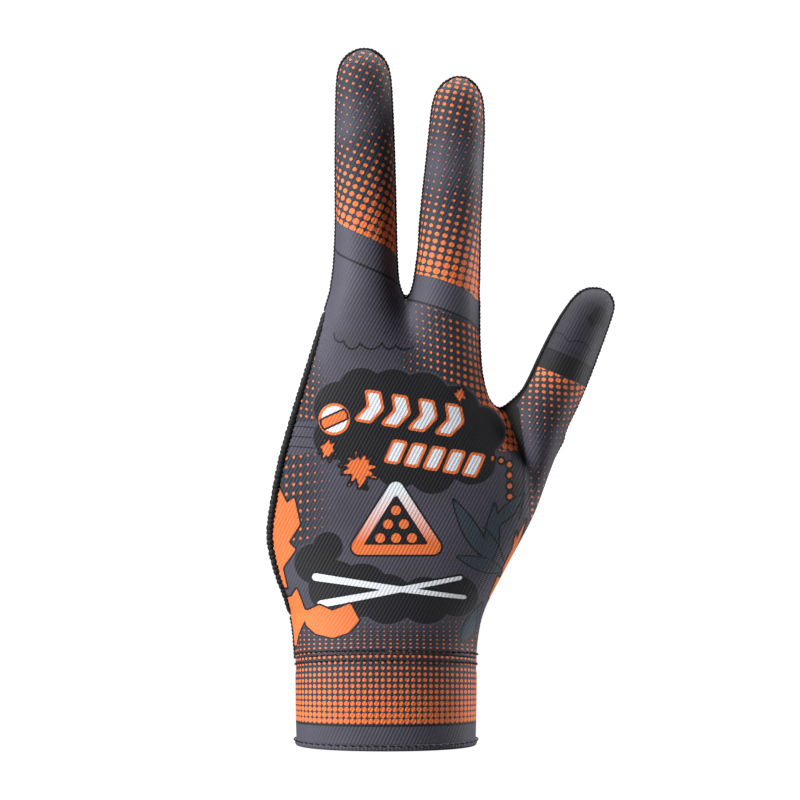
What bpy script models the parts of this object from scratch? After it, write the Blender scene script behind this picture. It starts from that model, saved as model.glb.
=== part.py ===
# Three-finger billiard glove for the left hand, shaped as it sits on a hand, in metres, +Z up.
# The origin is the middle of the wrist opening. The back of the hand faces -Y, the thumb leans to +X,
# and the ring and little fingers pass through an open side with a bound edge.
import math

import bpy
import numpy as np

# Fabric
WALL = 0.0012
GAP = 0.0003
SECTION_POWER = 2.15

# Wrist and cuff
WRIST_WIDTH = 0.0612
WRIST_DEPTH = 0.0430
HEM_HEIGHT = 0.0022
HEM_THICKNESS = 0.0018
CUFF_HEIGHT = 0.0262
CUFF_TAPER = 0.0006
SEAM_ARCH = 0.0034

# Hand, measured up from the wrist seam
HAND_HEIGHT = 0.1213
THUMB_CROTCH_HEIGHT = 0.0842
THUMB_ROOT_HEIGHT = 0.0737
HEEL_SWELL = 0.0091
THUMB_ROOT_REACH = 0.0309
THUMB_CROTCH_REACH = 0.0385
KNUCKLE_WIDTH = 0.0510
KNUCKLE_SHIFT = 0.0059
CROTCH_SHARE = 0.517
HAND_BACK_DEPTH = 0.0150
HAND_PALM_DEPTH = 0.0165
PAD_SWELL = 0.0045
VALLEY_START = 0.55
VALLEY_POWER = 2.4

# Fingers and thumb
MIDDLE_LENGTH = 0.0855
MIDDLE_WIDTH = 0.0199
MIDDLE_LEAN = math.radians(-0.9)
INDEX_LENGTH = 0.0762
INDEX_WIDTH = 0.0197
INDEX_LEAN = math.radians(4.3)
FINGER_DEPTH = 0.0182
FINGER_BEND = 0.0065
THUMB_LENGTH = 0.0522
THUMB_WIDTH = 0.0190
THUMB_DEPTH = 0.0185
THUMB_LEAN = math.radians(25.0)
THUMB_FORWARD = 0.0050
THUMB_BEND = 0.0100
THUMB_SEAM_TURN = math.radians(24.0)
BACK_WRAP = math.radians(24.0)

# Side opening for the ring and little fingers, measured up from the wrist seam
OPENING_BOTTOM = 0.0150
OPENING_BELOW_CROTCH = 0.0037
OPENING_BACK_ANGLE = math.radians(44.0)
OPENING_PALM_ANGLE = math.radians(50.0)
BINDING_DIAMETER = 0.0020

# How finely the pieces are divided
MIDDLE_COLUMNS = 8
INDEX_COLUMNS = 8
THUMB_COLUMNS = 8
WRIST_ROWS = 3
LOWER_ROWS = 11
UPPER_ROWS = 8
CUFF_COLUMNS = 44
BINDING_STEPS = 64
BINDING_SIDES = 6
RELAX_PASSES = 3
ROW_CROWDING = 1.25

# Lower hand, from the wrist seam to the thumb crotch. height: share of the crotch height; heel: share of
# HEEL_SWELL; root: share of THUMB_ROOT_REACH; wrist: share of the wrist's depth; pad: share of PAD_SWELL.
LOWER_HAND = {
    "height": (0.00, 0.12, 0.24, 0.36, 0.50, 0.64, 0.80, 0.92, 1.00),
    "heel": (0.00, 0.09, 0.35, 0.74, 1.00, 0.84, 0.56, 0.26, 0.06),
    "root": (0.000, 0.033, 0.110, 0.262, 0.437, 0.634, 0.830, 0.935, 1.000),
    "wrist": (1.00, 0.90, 0.70, 0.48, 0.26, 0.12, 0.04, 0.00, 0.00),
    "pad": (0.0, 0.1, 0.4, 0.8, 1.0, 0.9, 0.6, 0.3, 0.1),
}

# Upper hand, from the thumb crotch to the finger crotch. height: share of that height; web: how much of
# the thumb crotch's reach is left; depth: share of the hand's depth.
UPPER_HAND = {
    "height": (0.00, 0.045, 0.10, 0.155, 0.264, 0.373, 0.48, 0.70, 1.00),
    "web": (1.00, 0.62, 0.45, 0.33, 0.19, 0.095, 0.05, 0.00, 0.00),
    "depth": (1.00, 0.995, 0.99, 0.98, 0.96, 0.94, 0.92, 0.86, 0.76),
}

# Fingers and thumb, from root to tip. along: share of the length; shift: the middle line's sideways
# place as a share of the width; half: half width as a share of the width; depth: share of the depth;
# bend: share of the forward bend.
MIDDLE_FINGER = {
    "along": (0.00, 0.03, 0.07, 0.13, 0.22, 0.34, 0.48, 0.62, 0.76, 0.86, 0.92, 0.962, 0.988, 1.00),
    "shift": (0.00, -0.02, -0.03, -0.02, -0.01, 0.00, 0.00, 0.00, 0.00, 0.00, 0.00, 0.00, 0.01, 0.01),
    "half": (0.661, 0.60, 0.563, 0.535, 0.515, 0.503, 0.498, 0.488, 0.473, 0.455, 0.42, 0.335, 0.21, 0.08),
    "depth": (0.62, 0.60, 0.58, 0.56, 0.54, 0.52, 0.50, 0.49, 0.47, 0.44, 0.38, 0.285, 0.165, 0.00),
    "bend": (0.00, 0.00, 0.00, 0.01, 0.04, 0.10, 0.22, 0.38, 0.58, 0.75, 0.86, 0.94, 0.98, 1.00),
}
INDEX_FINGER = {
    "along": (0.00, 0.03, 0.07, 0.13, 0.22, 0.34, 0.48, 0.62, 0.76, 0.86, 0.92, 0.962, 0.988, 1.00),
    "shift": (0.00, 0.03, 0.045, 0.05, 0.05, 0.03, 0.03, 0.03, 0.03, 0.02, 0.02, 0.02, 0.03, 0.03),
    "half": (0.627, 0.575, 0.555, 0.54, 0.52, 0.51, 0.495, 0.475, 0.46, 0.435, 0.385, 0.295, 0.18, 0.08),
    "depth": (0.62, 0.60, 0.58, 0.56, 0.54, 0.52, 0.50, 0.48, 0.46, 0.42, 0.36, 0.265, 0.15, 0.00),
    "bend": (0.00, 0.00, 0.00, 0.01, 0.04, 0.10, 0.22, 0.38, 0.58, 0.75, 0.86, 0.94, 0.98, 1.00),
}
THUMB = {
    "along": (0.00, 0.03, 0.07, 0.13, 0.22, 0.34, 0.48, 0.62, 0.74, 0.84, 0.91, 0.96, 0.988, 1.00),
    "shift": (0.00, 0.01, 0.03, 0.05, 0.065, 0.06, 0.05, 0.045, 0.05, 0.065, 0.09, 0.12, 0.14, 0.15),
    "half": (0.667, 0.62, 0.585, 0.555, 0.53, 0.512, 0.496, 0.474, 0.444, 0.405, 0.355, 0.265, 0.15, 0.06),
    "depth": (0.62, 0.61, 0.595, 0.575, 0.55, 0.53, 0.51, 0.49, 0.46, 0.415, 0.35, 0.25, 0.14, 0.00),
    "bend": (0.00, 0.01, 0.03, 0.06, 0.13, 0.24, 0.38, 0.53, 0.67, 0.79, 0.88, 0.94, 0.98, 1.00),
    "turn": (0.00, 0.15, 0.40, 0.75, 1.00, 1.00, 1.00, 1.00, 1.00, 0.95, 0.80, 0.50, 0.20, 0.00),
    "wrap": (1.00, 1.00, 0.97, 0.90, 0.70, 0.40, 0.10, 0.00, 0.00, 0.00, 0.00, 0.00, 0.00, 0.00),
}

WRIST_SEAM = HEM_HEIGHT + GAP + CUFF_HEIGHT
OPENING_TOP = HAND_HEIGHT - OPENING_BELOW_CROTCH
OPENING_MIDDLE = (OPENING_BOTTOM + OPENING_TOP) / 2
OPENING_HALF = (OPENING_TOP - OPENING_BOTTOM) / 2


def smooth_value(places, values, at):
    """A curve through a table's values that never overshoots them."""
    x, y, at = np.asarray(places, float), np.asarray(values, float), np.asarray(at, float)
    step = np.diff(x)
    rise = np.diff(y) / step
    slope = np.zeros(len(x))
    same_way = rise[1:] * rise[:-1] > 0
    steep = np.minimum(np.abs(rise[1:]), np.abs(rise[:-1]))
    mean = 2 * rise[1:] * rise[:-1] / np.where(same_way, rise[1:] + rise[:-1], 1)
    slope[1:-1] = np.where(same_way & (steep > 0), mean, 0)
    slope[0], slope[-1] = rise[0], rise[-1]
    k = np.clip(np.searchsorted(x, at, side="right") - 1, 0, len(step) - 1)
    t = (at - x[k]) / step[k]
    return (
        (1 + 2 * t) * (1 - t) ** 2 * y[k]
        + t * (1 - t) ** 2 * step[k] * slope[k]
        + t * t * (3 - 2 * t) * y[k + 1]
        + t * t * (t - 1) * step[k] * slope[k + 1]
    )


def column(table, name, at):
    """One named column of a section table, read at shares of its first column."""
    return smooth_value(next(iter(table.values())), table[name], at)


def opening_share(height):
    """How far the side opening is spread at a height: 1 in its middle, 0 past its ends."""
    past = (np.asarray(height, float) - OPENING_MIDDLE) / OPENING_HALF
    return np.sqrt(np.clip(1 - past**2, 0, None))


def lower_share(height):
    return height / THUMB_CROTCH_HEIGHT


def left_edge(height):
    """Where the panels end on the little-finger side, set in from the outline by the binding."""
    low = -WRIST_WIDTH / 2 - HEEL_SWELL * column(LOWER_HAND, "heel", np.clip(lower_share(height), 0, 1))
    up = np.clip((height - THUMB_CROTCH_HEIGHT) / (HAND_HEIGHT - THUMB_CROTCH_HEIGHT), 0, 1)
    end = KNUCKLE_SHIFT - KNUCKLE_WIDTH / 2
    return low + (end - low) * up + (BINDING_DIAMETER + GAP) * opening_share(height)


def valley_share(share, start):
    """How much of a groove between two limbs has formed, from none at its start to all at the crotch."""
    return np.clip((share - start) / (1 - start), 0, 1) ** VALLEY_POWER


def lower_hand(heights):
    """The rows from the wrist seam to the thumb crotch."""
    t = lower_share(heights)
    right = WRIST_WIDTH / 2 + THUMB_ROOT_REACH * column(LOWER_HAND, "root", t)
    wrist = column(LOWER_HAND, "wrist", t)
    pad = column(LOWER_HAND, "pad", t)
    drop = THUMB_CROTCH_HEIGHT - heights
    split = np.stack([THUMB_CROTCH_REACH + 0.14 * drop, heights], axis=1)
    return {
        "left": np.stack([left_edge(heights), heights], axis=1),
        "right": np.stack([right, THUMB_ROOT_HEIGHT * t], axis=1),
        "split": split,
        "groove": valley_share(t, VALLEY_START),
        "forward_left": 0 * t,
        "forward_right": THUMB_FORWARD * t**2,
        "forward_split": 0.5 * THUMB_FORWARD * t**2,
        "back": wrist * WRIST_DEPTH / 2 + (1 - wrist) * HAND_BACK_DEPTH,
        "palm": wrist * WRIST_DEPTH / 2 + (1 - wrist) * HAND_PALM_DEPTH + pad * PAD_SWELL,
        "back_2": 0 * t + THUMB_DEPTH * THUMB["depth"][0],
        "palm_2": 0 * t + THUMB_DEPTH * THUMB["depth"][0],
        "wrap_right": 0 * t + BACK_WRAP,
        "open": opening_share(heights),
        "arch": np.clip(1 - 4 * t, 0, 1) ** 2,
        "to_fingers": np.array(False),
    }


def upper_hand(heights):
    """The rows from the thumb crotch to the finger crotch. They rise late at the web, to round it."""
    t = (heights - THUMB_CROTCH_HEIGHT) / (HAND_HEIGHT - THUMB_CROTCH_HEIGHT)
    rise = t**2
    web = column(UPPER_HAND, "web", rise)
    depth = column(UPPER_HAND, "depth", t)
    knuckle_end = KNUCKLE_SHIFT + KNUCKLE_WIDTH / 2
    right = knuckle_end + (THUMB_CROTCH_REACH - knuckle_end) * web
    right_height = THUMB_CROTCH_HEIGHT + (HAND_HEIGHT - THUMB_CROTCH_HEIGHT) * rise
    left = left_edge(heights)
    crotch = KNUCKLE_SHIFT + KNUCKLE_WIDTH * (CROTCH_SHARE - 0.5)
    root_depth = FINGER_DEPTH * MIDDLE_FINGER["depth"][0]
    return {
        "left": np.stack([left, heights], axis=1),
        "right": np.stack([right, right_height], axis=1),
        "split": np.stack([0 * t + crotch, (heights + right_height) / 2], axis=1),
        "groove": valley_share(t, 0.0),
        "forward_left": 0 * t,
        "forward_right": 0.5 * THUMB_FORWARD * (1 - t) ** 2,
        "forward_split": 0 * t,
        "back": HAND_BACK_DEPTH * depth,
        "palm": (HAND_PALM_DEPTH + LOWER_HAND["pad"][-1] * PAD_SWELL * (1 - t)) * depth,
        "back_2": 0 * t + root_depth,
        "palm_2": 0 * t + root_depth,
        "wrap_right": 0 * t,
        "open": opening_share(heights),
        "arch": 0 * t,
        "to_fingers": np.array(True),
    }


def limb(table, base, lean, size, forward, turn=0.0, wrap=0.0):
    """The rows of a finger or the thumb, from its root row (base) to its tip."""
    length, width, depth, bend = size
    s = np.array(table["along"])
    axis = np.array([math.sin(lean), math.cos(lean)])
    across = np.array([math.cos(lean), -math.sin(lean)])
    root = (base[0] + base[1]) / 2
    middle = root + np.outer(s * length, axis) + np.outer(width * column(table, "shift", s), across)
    half = width * column(table, "half", s)[:, None]
    left, right = middle - half * across, middle + half * across
    settle = np.clip(1 - s / 0.12, 0, 1)[:, None] ** 2
    left = left + settle * (base[0] - left[0])
    right = right + settle * (base[1] - right[0])
    ahead = bend * column(table, "bend", s)
    keep = np.clip(1 - s / 0.3, 0, 1)
    return {
        "left": left,
        "right": right,
        "forward_left": forward[1] + (forward[0] - forward[1]) * keep + ahead,
        "forward_right": forward[1] + (forward[2] - forward[1]) * keep + ahead,
        "back": depth * column(table, "depth", s),
        "palm": depth * column(table, "depth", s),
        "turn_left": turn * column(table, "turn", s) if turn else 0 * s,
        "wrap_right": wrap * column(table, "wrap", s) if wrap else 0 * s,
        "open": 0 * s,
    }


def inward(points):
    """Unit directions into the glove along its outline, walked with the inside on the right."""
    steps = np.diff(points, axis=0)
    steps /= np.linalg.norm(steps, axis=1)[:, None]
    along = np.vstack([[0, 1], steps[1:] + steps[:-1], [0, -1]])
    along /= np.linalg.norm(along, axis=1)[:, None]
    return np.stack([along[:, 1], -along[:, 0]], axis=1)


def set_in(patches, inset):
    """The same rows with every edge moved into the glove by inset, and every depth less by it."""
    inner = {name: {key: value.copy() for key, value in rows.items()} for name, rows in patches.items()}
    walk = (
        [("lower", "left", i) for i in range(len(patches["lower"]["left"]))]
        + [("upper", "left", i) for i in range(1, len(patches["upper"]["left"]))]
        + [("middle", "left", i) for i in range(1, len(patches["middle"]["left"]))]
        + [("middle", "right", i) for i in range(len(patches["middle"]["right"]) - 1, -1, -1)]
        + [("index", "left", i) for i in range(1, len(patches["index"]["left"]))]
        + [("index", "right", i) for i in range(len(patches["index"]["right"]) - 1, 0, -1)]
        + [("upper", "right", i) for i in range(len(patches["upper"]["right"]) - 1, -1, -1)]
        + [("thumb", "left", i) for i in range(1, len(patches["thumb"]["left"]))]
        + [("thumb", "right", i) for i in range(len(patches["thumb"]["right"]) - 1, 0, -1)]
        + [("lower", "right", i) for i in range(len(patches["lower"]["right"]) - 1, -1, -1)]
    )
    outline = np.array([patches[name][side][i] for name, side, i in walk])
    moved = outline + inset * inward(outline)
    for (name, side, i), point in zip(walk, moved):
        inner[name][side][i] = point
    inner["upper"]["left"][0] = inner["lower"]["left"][-1]
    inner["middle"]["left"][0] = inner["upper"]["left"][-1]
    inner["index"]["left"][0] = inner["middle"]["right"][0]
    inner["index"]["right"][0] = inner["upper"]["right"][-1]
    inner["thumb"]["left"][0] = inner["upper"]["right"][0]
    inner["thumb"]["right"][0] = inner["lower"]["right"][-1]
    for name in ("lower", "upper"):
        inner[name]["split"][:, 1] -= inset * patches[name]["groove"]
    for rows in inner.values():
        for key in ("back", "palm", "back_2", "palm_2"):
            if key in rows:
                rows[key] = np.maximum(rows[key] - inset, 0)
    return inner


def on_section(left, right, forward_left, forward_right, back, palm, angle):
    """A point of the closed section between two edges. Angle 0 is the right edge, pi the left edge,
    and angles between them run over the back of the hand."""
    power = 2 / SECTION_POWER
    c, s = math.cos(angle), math.sin(angle)
    across = math.copysign(abs(c) ** power, c)
    out = math.copysign(abs(s) ** power, s)
    flat = (left + right) / 2 + (right - left) / 2 * across
    forward = forward_left + (forward_right - forward_left) * (1 + across) / 2
    return np.array([flat[0], forward - out * (back if out > 0 else palm), flat[1]])


def full_left(left, right, spread):
    """The closed section's own left edge, when the panels stop short of it by the angle spread."""
    return right - (right - left) * 2 / (1 + math.cos(spread))


def seam_step(section, angle, way):
    """How far the angle moves so that an edge keeps half the gap to its seam."""
    if section[4] <= 0:
        return 0.0
    start, low, high = on_section(*section, angle), 0.0, 0.5
    for _ in range(30):
        step = (low + high) / 2
        if np.linalg.norm(on_section(*section, angle + way * step) - start) < GAP / 2:
            low = step
        else:
            high = step
    return high


def section_columns(section, start, end, count, side, open_start=False):
    """Points along one side of a section, from its left edge to its right edge. side: 1 back, -1 palm."""
    first = start if open_start else start - side * seam_step(section, start, -side)
    last = end + side * seam_step(section, end, side)
    points = [on_section(*section, first + (last - first) * k / count) for k in range(count + 1)]
    if section[4] <= 0:
        for point in points:
            point[1] -= side * GAP / 2
    return np.array(points)


def hand_row(rows, i, side, counts):
    """A row of the hand: one section, blended into two towards the crotch above it."""
    total = sum(counts)
    spread = rows["open"][i] * (OPENING_BACK_ANGLE if side > 0 else OPENING_PALM_ANGLE)
    is_open = spread > 1e-6
    edge_spread = rows["open"][i] * OPENING_BACK_ANGLE
    left, right, split = rows["left"][i], rows["right"][i], rows["split"][i]
    start = side * (math.pi - spread)
    end = -rows["wrap_right"][i]
    depths = rows["back"][i], rows["palm"][i]
    ahead = rows["forward_left"][i], rows["forward_split"][i], rows["forward_right"][i]
    whole = (full_left(left, right, edge_spread), right, ahead[0], ahead[2], *depths)
    single = section_columns(whole, start, end, total, side, is_open)
    if rows["groove"][i] > 0:
        w = rows["groove"][i]
        far = rows["back_2"][i], rows["palm_2"][i]
        near = depths
        if rows["to_fingers"]:
            near = tuple(depth + (root - depth) * w for depth, root in zip(depths, far))
        first = (full_left(left, split, edge_spread), split, ahead[0], ahead[1], *near)
        second = (split, right, ahead[1], ahead[2], *far)
        one = section_columns(first, start, 0.0, counts[0], side, is_open)
        two = section_columns(second, side * math.pi, end, counts[1], side)
        middle = (one[-1:] + two[:1]) / 2
        double = np.vstack([one[:-1], middle, two[1:]])
        single = single + (double - single) * w
    if side > 0:
        single[:, 2] += rows["arch"][i] * seam_rise(np.linspace(start, end, total + 1))
    return single


def limb_row(rows, i, side, count):
    """A row of a finger or the thumb, from its left seam to its right seam."""
    depths = rows["back"][i], rows["palm"][i]
    ahead = rows["forward_left"][i], rows["forward_right"][i]
    section = (rows["left"][i], rows["right"][i], *ahead, *depths)
    start = math.pi - rows["turn_left"][i] - (0 if side > 0 else 2 * math.pi)
    return section_columns(section, start, -rows["wrap_right"][i], count, side)


def panel_points(patches, side):
    """All the points of one panel's surface, patch by patch, with shared rows written once."""
    hand = MIDDLE_COLUMNS + INDEX_COLUMNS
    counts = {"lower": (hand, THUMB_COLUMNS), "upper": (MIDDLE_COLUMNS, INDEX_COLUMNS)}
    lower, upper = (
        [hand_row(patches[name], i, side, counts[name]) for i in range(len(patches[name]["open"]))]
        for name in ("lower", "upper")
    )
    points, rows = [], {"lower": [], "upper": [], "middle": [], "index": [], "thumb": []}

    def add(name, row):
        rows[name].append(list(range(len(points), len(points) + len(row))))
        points.extend(row)

    for row in lower:
        add("lower", row)
    rows["upper"].append(rows["lower"][-1][: hand + 1])
    for row in upper[1:]:
        add("upper", row)
    rows["middle"].append(rows["upper"][-1][: MIDDLE_COLUMNS + 1])
    rows["index"].append(rows["upper"][-1][MIDDLE_COLUMNS:])
    rows["thumb"].append(rows["lower"][-1][hand:])
    for name, count in (("middle", MIDDLE_COLUMNS), ("index", INDEX_COLUMNS), ("thumb", THUMB_COLUMNS)):
        for i in range(1, len(patches[name]["open"])):
            add(name, limb_row(patches[name], i, side, count))
    faces = []
    for grid in rows.values():
        for below, above in zip(grid, grid[1:]):
            for k in range(len(below) - 1):
                faces.append((below[k], below[k + 1], above[k + 1], above[k]))
    return np.array(points), faces


def relaxed(points, faces):
    """The surface with its creases eased: inner points move half-way to the middle of their neighbours."""
    near = [set() for _ in points]
    uses = {}
    for face in faces:
        for a, b in zip(face, face[1:] + face[:1]):
            near[a].add(b)
            near[b].add(a)
            uses[frozenset((a, b))] = uses.get(frozenset((a, b)), 0) + 1
    edge = {k for pair, count in uses.items() if count == 1 for k in pair}
    inside = [k for k in range(len(points)) if k not in edge]
    for _ in range(RELAX_PASSES):
        means = np.array([points[list(near[k])].mean(axis=0) for k in inside])
        points = points.copy()
        points[inside] += (means - points[inside]) / 2
    return points


def closed_shell(outer, inner, faces):
    """A wall between two surfaces of the same layout, closed along every free edge."""
    count = len(outer)
    used = {}
    for face in faces:
        for a, b in zip(face, face[1:] + face[:1]):
            used[(a, b)] = True
    rims = [(b, a, a + count, b + count) for a, b in used if (b, a) not in used]
    back = [tuple(k + count for k in reversed(face)) for face in faces]
    return np.vstack([outer, inner]), list(faces) + back + rims


def ring_shell(outline_out, outline_in, rows):
    """A band round the wrist. The outlines give a point for a share of the height and an angle."""
    count = CUFF_COLUMNS
    points, faces = [], []
    profile = [(outline_out, share) for share in rows]
    profile += [(outline_in, share) for share in reversed(rows)]
    for outline, share in profile:
        for k in range(count):
            points.append(outline(share, 2 * math.pi * k / count))
    for i in range(len(profile)):
        j = (i + 1) % len(profile)
        for k in range(count):
            n = (k + 1) % count
            faces.append((i * count + k, i * count + n, j * count + n, j * count + k))
    return np.array(points), faces


def signed_volume(points, faces):
    total = 0.0
    for face in faces:
        for k in range(1, len(face) - 1):
            total += np.dot(points[face[0]], np.cross(points[face[k]], points[face[k + 1]]))
    return total


def add_object(name, points, faces, material):
    """A smooth-shaded object whose faces point out."""
    if signed_volume(points, faces) < 0:
        faces = [tuple(reversed(face)) for face in faces]
    mesh = bpy.data.meshes.new(name)
    mesh.from_pydata([tuple(p) for p in points], [], [tuple(f) for f in faces])
    mesh.validate()
    mesh.shade_smooth()
    mesh.set_sharp_from_angle(angle=math.radians(50))
    mesh.materials.append(material)
    obj = bpy.data.objects.new(name, mesh)
    bpy.context.collection.objects.link(obj)
    return obj


def fabric(name, colour, roughness):
    material = bpy.data.materials.new(name)
    material.use_nodes = True
    shader = material.node_tree.nodes["Principled BSDF"]
    shader.inputs["Base Color"].default_value = (*colour, 1)
    shader.inputs["Roughness"].default_value = roughness
    shader.inputs["Metallic"].default_value = 0.0
    material.diffuse_color = (*colour, 1)
    return material


def seam_rise(angle):
    """How far the arched seam between the cuff and the hand stands up over the back of the wrist."""
    return SEAM_ARCH * np.clip(np.sin(angle), 0, None)


def wrist_section(width, depth, angle, height):
    """A point of the wrist's closed section, at a height above the origin."""
    edge = np.array([width / 2, height])
    return on_section(edge * (-1, 1), edge, 0.0, 0.0, depth / 2, depth / 2, angle)


def build_cuff(material):
    """The band between the hem and the arched seam of the hand's panels."""
    bottom, top = HEM_HEIGHT + GAP, WRIST_SEAM - GAP / 2

    def outline(inset):
        def at(share, angle):
            height = bottom + (top - bottom + seam_rise(angle)) * share
            less = CUFF_TAPER * (1 - share) + 2 * inset
            return wrist_section(WRIST_WIDTH - less, WRIST_DEPTH - less, angle, height)

        return at

    rows = (0.0, 0.33, 0.67, 1.0)
    return add_object("cuff", *ring_shell(outline(0.0), outline(WALL), rows), material)


def build_hem(material):
    """The rolled hem at the wrist opening, a little thicker than the cuff and round at its lower edge."""
    swell = (HEM_THICKNESS - WALL) / 2
    round_off = {0.0: 0.35, 0.3: 1.0, 1.0: 0.8}

    def outline(way):
        def at(share, angle):
            stand = way * swell * round_off[share] - (WALL if way < 0 else 0.0)
            width = WRIST_WIDTH - CUFF_TAPER + 2 * stand
            return wrist_section(width, WRIST_DEPTH - CUFF_TAPER + 2 * stand, angle, HEM_HEIGHT * share)

        return at

    rows = tuple(round_off)
    return add_object("cuff_hem", *ring_shell(outline(1), outline(-1), rows), material)


def section_at(height):
    """The hand's rows at one height, for what follows the edge of the side opening."""
    find = lower_hand if height <= THUMB_CROTCH_HEIGHT else upper_hand
    return find(np.array([height]))


def opening_edge(height, side, inset):
    """A point on the edge of the side opening, half-way through the wall, and the way out of the fabric."""
    rows = section_at(height)
    spread = rows["open"][0]
    angle = spread * (OPENING_BACK_ANGLE if side > 0 else OPENING_PALM_ANGLE)
    depths = rows["back"][0] - inset, rows["palm"][0] - inset
    ahead = rows["forward_left"][0], rows["forward_split"][0], rows["forward_right"][0]
    w = rows["groove"][0]
    left = rows["left"][0] + np.array([inset, 0.0])
    near = depths
    if rows["to_fingers"]:
        roots = rows["back_2"][0] - inset, rows["palm_2"][0] - inset
        near = tuple(depth + (root - depth) * w for depth, root in zip(depths, roots))
    points = []
    ends = (rows["right"][0], ahead[2], depths), (rows["split"][0], ahead[1], near)
    for right, forward, deep in ends:
        section = (full_left(left, right, spread * OPENING_BACK_ANGLE), right, ahead[0], forward, *deep)
        here = on_section(*section, math.pi - side * angle)
        before, after = (on_section(*section, math.pi - side * (angle + step)) for step in (-0.05, 0.05))
        points.append((here, after - before))
    here = points[0][0] + (points[1][0] - points[0][0]) * w
    toward_fabric = points[0][1] + (points[1][1] - points[0][1]) * w
    return here, toward_fabric / np.linalg.norm(toward_fabric)


def build_binding(material):
    """The serged rope round the side opening: a closed tube laid against the panels' edges."""
    edge, fabric_way, open_way = [], [], []
    for k in range(BINDING_STEPS):
        turn = 2 * math.pi * (k + 0.5) / BINDING_STEPS
        height = OPENING_MIDDLE - OPENING_HALF * math.cos(turn)
        here, way = opening_edge(height, 1 if turn < math.pi else -1, WALL / 2)
        edge.append(here)
        fabric_way.append(way)
        open_way.append(np.array([0, 0, math.cos(turn)]) - way * abs(math.sin(turn)))
    edge, fabric_way, open_way = np.array(edge), np.array(fabric_way), np.array(open_way)
    along = np.roll(edge, -1, axis=0) - np.roll(edge, 1, axis=0)
    along /= np.linalg.norm(along, axis=1)[:, None]
    out = np.cross(along, fabric_way)
    out /= np.linalg.norm(out, axis=1)[:, None]
    into = np.cross(out, along)
    into = into * np.sign((open_way * into).sum(axis=1))[:, None]
    centre = edge + into * (BINDING_DIAMETER / 2 + GAP) + np.array([0, 0, WRIST_SEAM + GAP / 2])
    points, faces = [], []
    for k in range(BINDING_STEPS):
        for j in range(BINDING_SIDES):
            a = 2 * math.pi * (j + 0.5) / BINDING_SIDES
            points.append(centre[k] + BINDING_DIAMETER / 2 * (math.cos(a) * into[k] + math.sin(a) * out[k]))
    for k in range(BINDING_STEPS):
        n = (k + 1) % BINDING_STEPS
        for j in range(BINDING_SIDES):
            m = (j + 1) % BINDING_SIDES
            faces.append(
                (k * BINDING_SIDES + j, n * BINDING_SIDES + j, n * BINDING_SIDES + m, k * BINDING_SIDES + m)
            )
    return add_object("opening_binding", np.array(points), faces, material)


def hand_patches():
    """The rows of the hand, the two fingers and the thumb."""
    turn = math.acos(np.clip((OPENING_MIDDLE - THUMB_CROTCH_HEIGHT) / OPENING_HALF, -1, 1))
    below = OPENING_BOTTOM * np.arange(WRIST_ROWS) / WRIST_ROWS
    rising = turn * (np.arange(LOWER_ROWS) / LOWER_ROWS) ** ROW_CROWDING
    closing = (math.pi - turn) * (np.arange(UPPER_ROWS)[::-1] / UPPER_ROWS) ** ROW_CROWDING
    rising = OPENING_MIDDLE - OPENING_HALF * np.cos(rising)
    closing = OPENING_MIDDLE + OPENING_HALF * np.cos(closing)
    lower = lower_hand(np.hstack([below, rising, THUMB_CROTCH_HEIGHT]))
    upper = upper_hand(np.hstack([THUMB_CROTCH_HEIGHT, closing, HAND_HEIGHT]))
    finger_base = upper["left"][-1], upper["split"][-1], upper["right"][-1]
    thumb_base = lower["split"][-1], lower["right"][-1]
    level = (0.0, 0.0, 0.0)
    thumb_forward = (lower["forward_split"][-1], THUMB_FORWARD, lower["forward_right"][-1])
    middle_size = MIDDLE_LENGTH, MIDDLE_WIDTH, FINGER_DEPTH, FINGER_BEND
    index_size = INDEX_LENGTH, INDEX_WIDTH, FINGER_DEPTH, FINGER_BEND
    thumb_size = THUMB_LENGTH, THUMB_WIDTH, THUMB_DEPTH, THUMB_BEND
    return {
        "lower": lower,
        "upper": upper,
        "middle": limb(MIDDLE_FINGER, finger_base[:2], MIDDLE_LEAN, middle_size, level),
        "index": limb(INDEX_FINGER, finger_base[1:], INDEX_LEAN, index_size, level),
        "thumb": limb(THUMB, thumb_base, THUMB_LEAN, thumb_size, thumb_forward, THUMB_SEAM_TURN, BACK_WRAP),
    }


def build_panel(name, side, material):
    """One half of the glove: the printed back or the black palm."""
    patches = hand_patches()
    outer, faces = panel_points(patches, side)
    inner, _ = panel_points(set_in(patches, WALL), side)
    outer, inner = relaxed(outer, faces), relaxed(inner, faces)
    lift = np.array([0, 0, WRIST_SEAM + GAP / 2])
    points, faces = closed_shell(outer + lift, inner + lift, faces)
    return add_object(name, points, faces, material)


def main():
    for obj in list(bpy.data.objects):
        bpy.data.objects.remove(obj)
    printed = fabric("printed_knit", (0.075, 0.070, 0.085), 0.75)
    black = fabric("black_stretch", (0.012, 0.012, 0.014), 0.80)
    band = fabric("cuff_knit", (0.30, 0.12, 0.06), 0.75)
    hem = fabric("hem_knit", (0.05, 0.047, 0.055), 0.75)
    thread = fabric("serged_thread", (0.008, 0.008, 0.009), 0.85)
    build_panel("back_panel", 1, printed)
    build_panel("palm_panel", -1, black)
    build_cuff(band)
    build_hem(hem)
    build_binding(thread)


if __name__ == "__main__":
    main()
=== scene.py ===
# Looks of the three-finger billiard glove: printed knit back, black stretch palm, cuff, hem, bound edge
# and threads. The shapes repeat the rows that the model is drawn from, with many more of them.
import math

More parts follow.
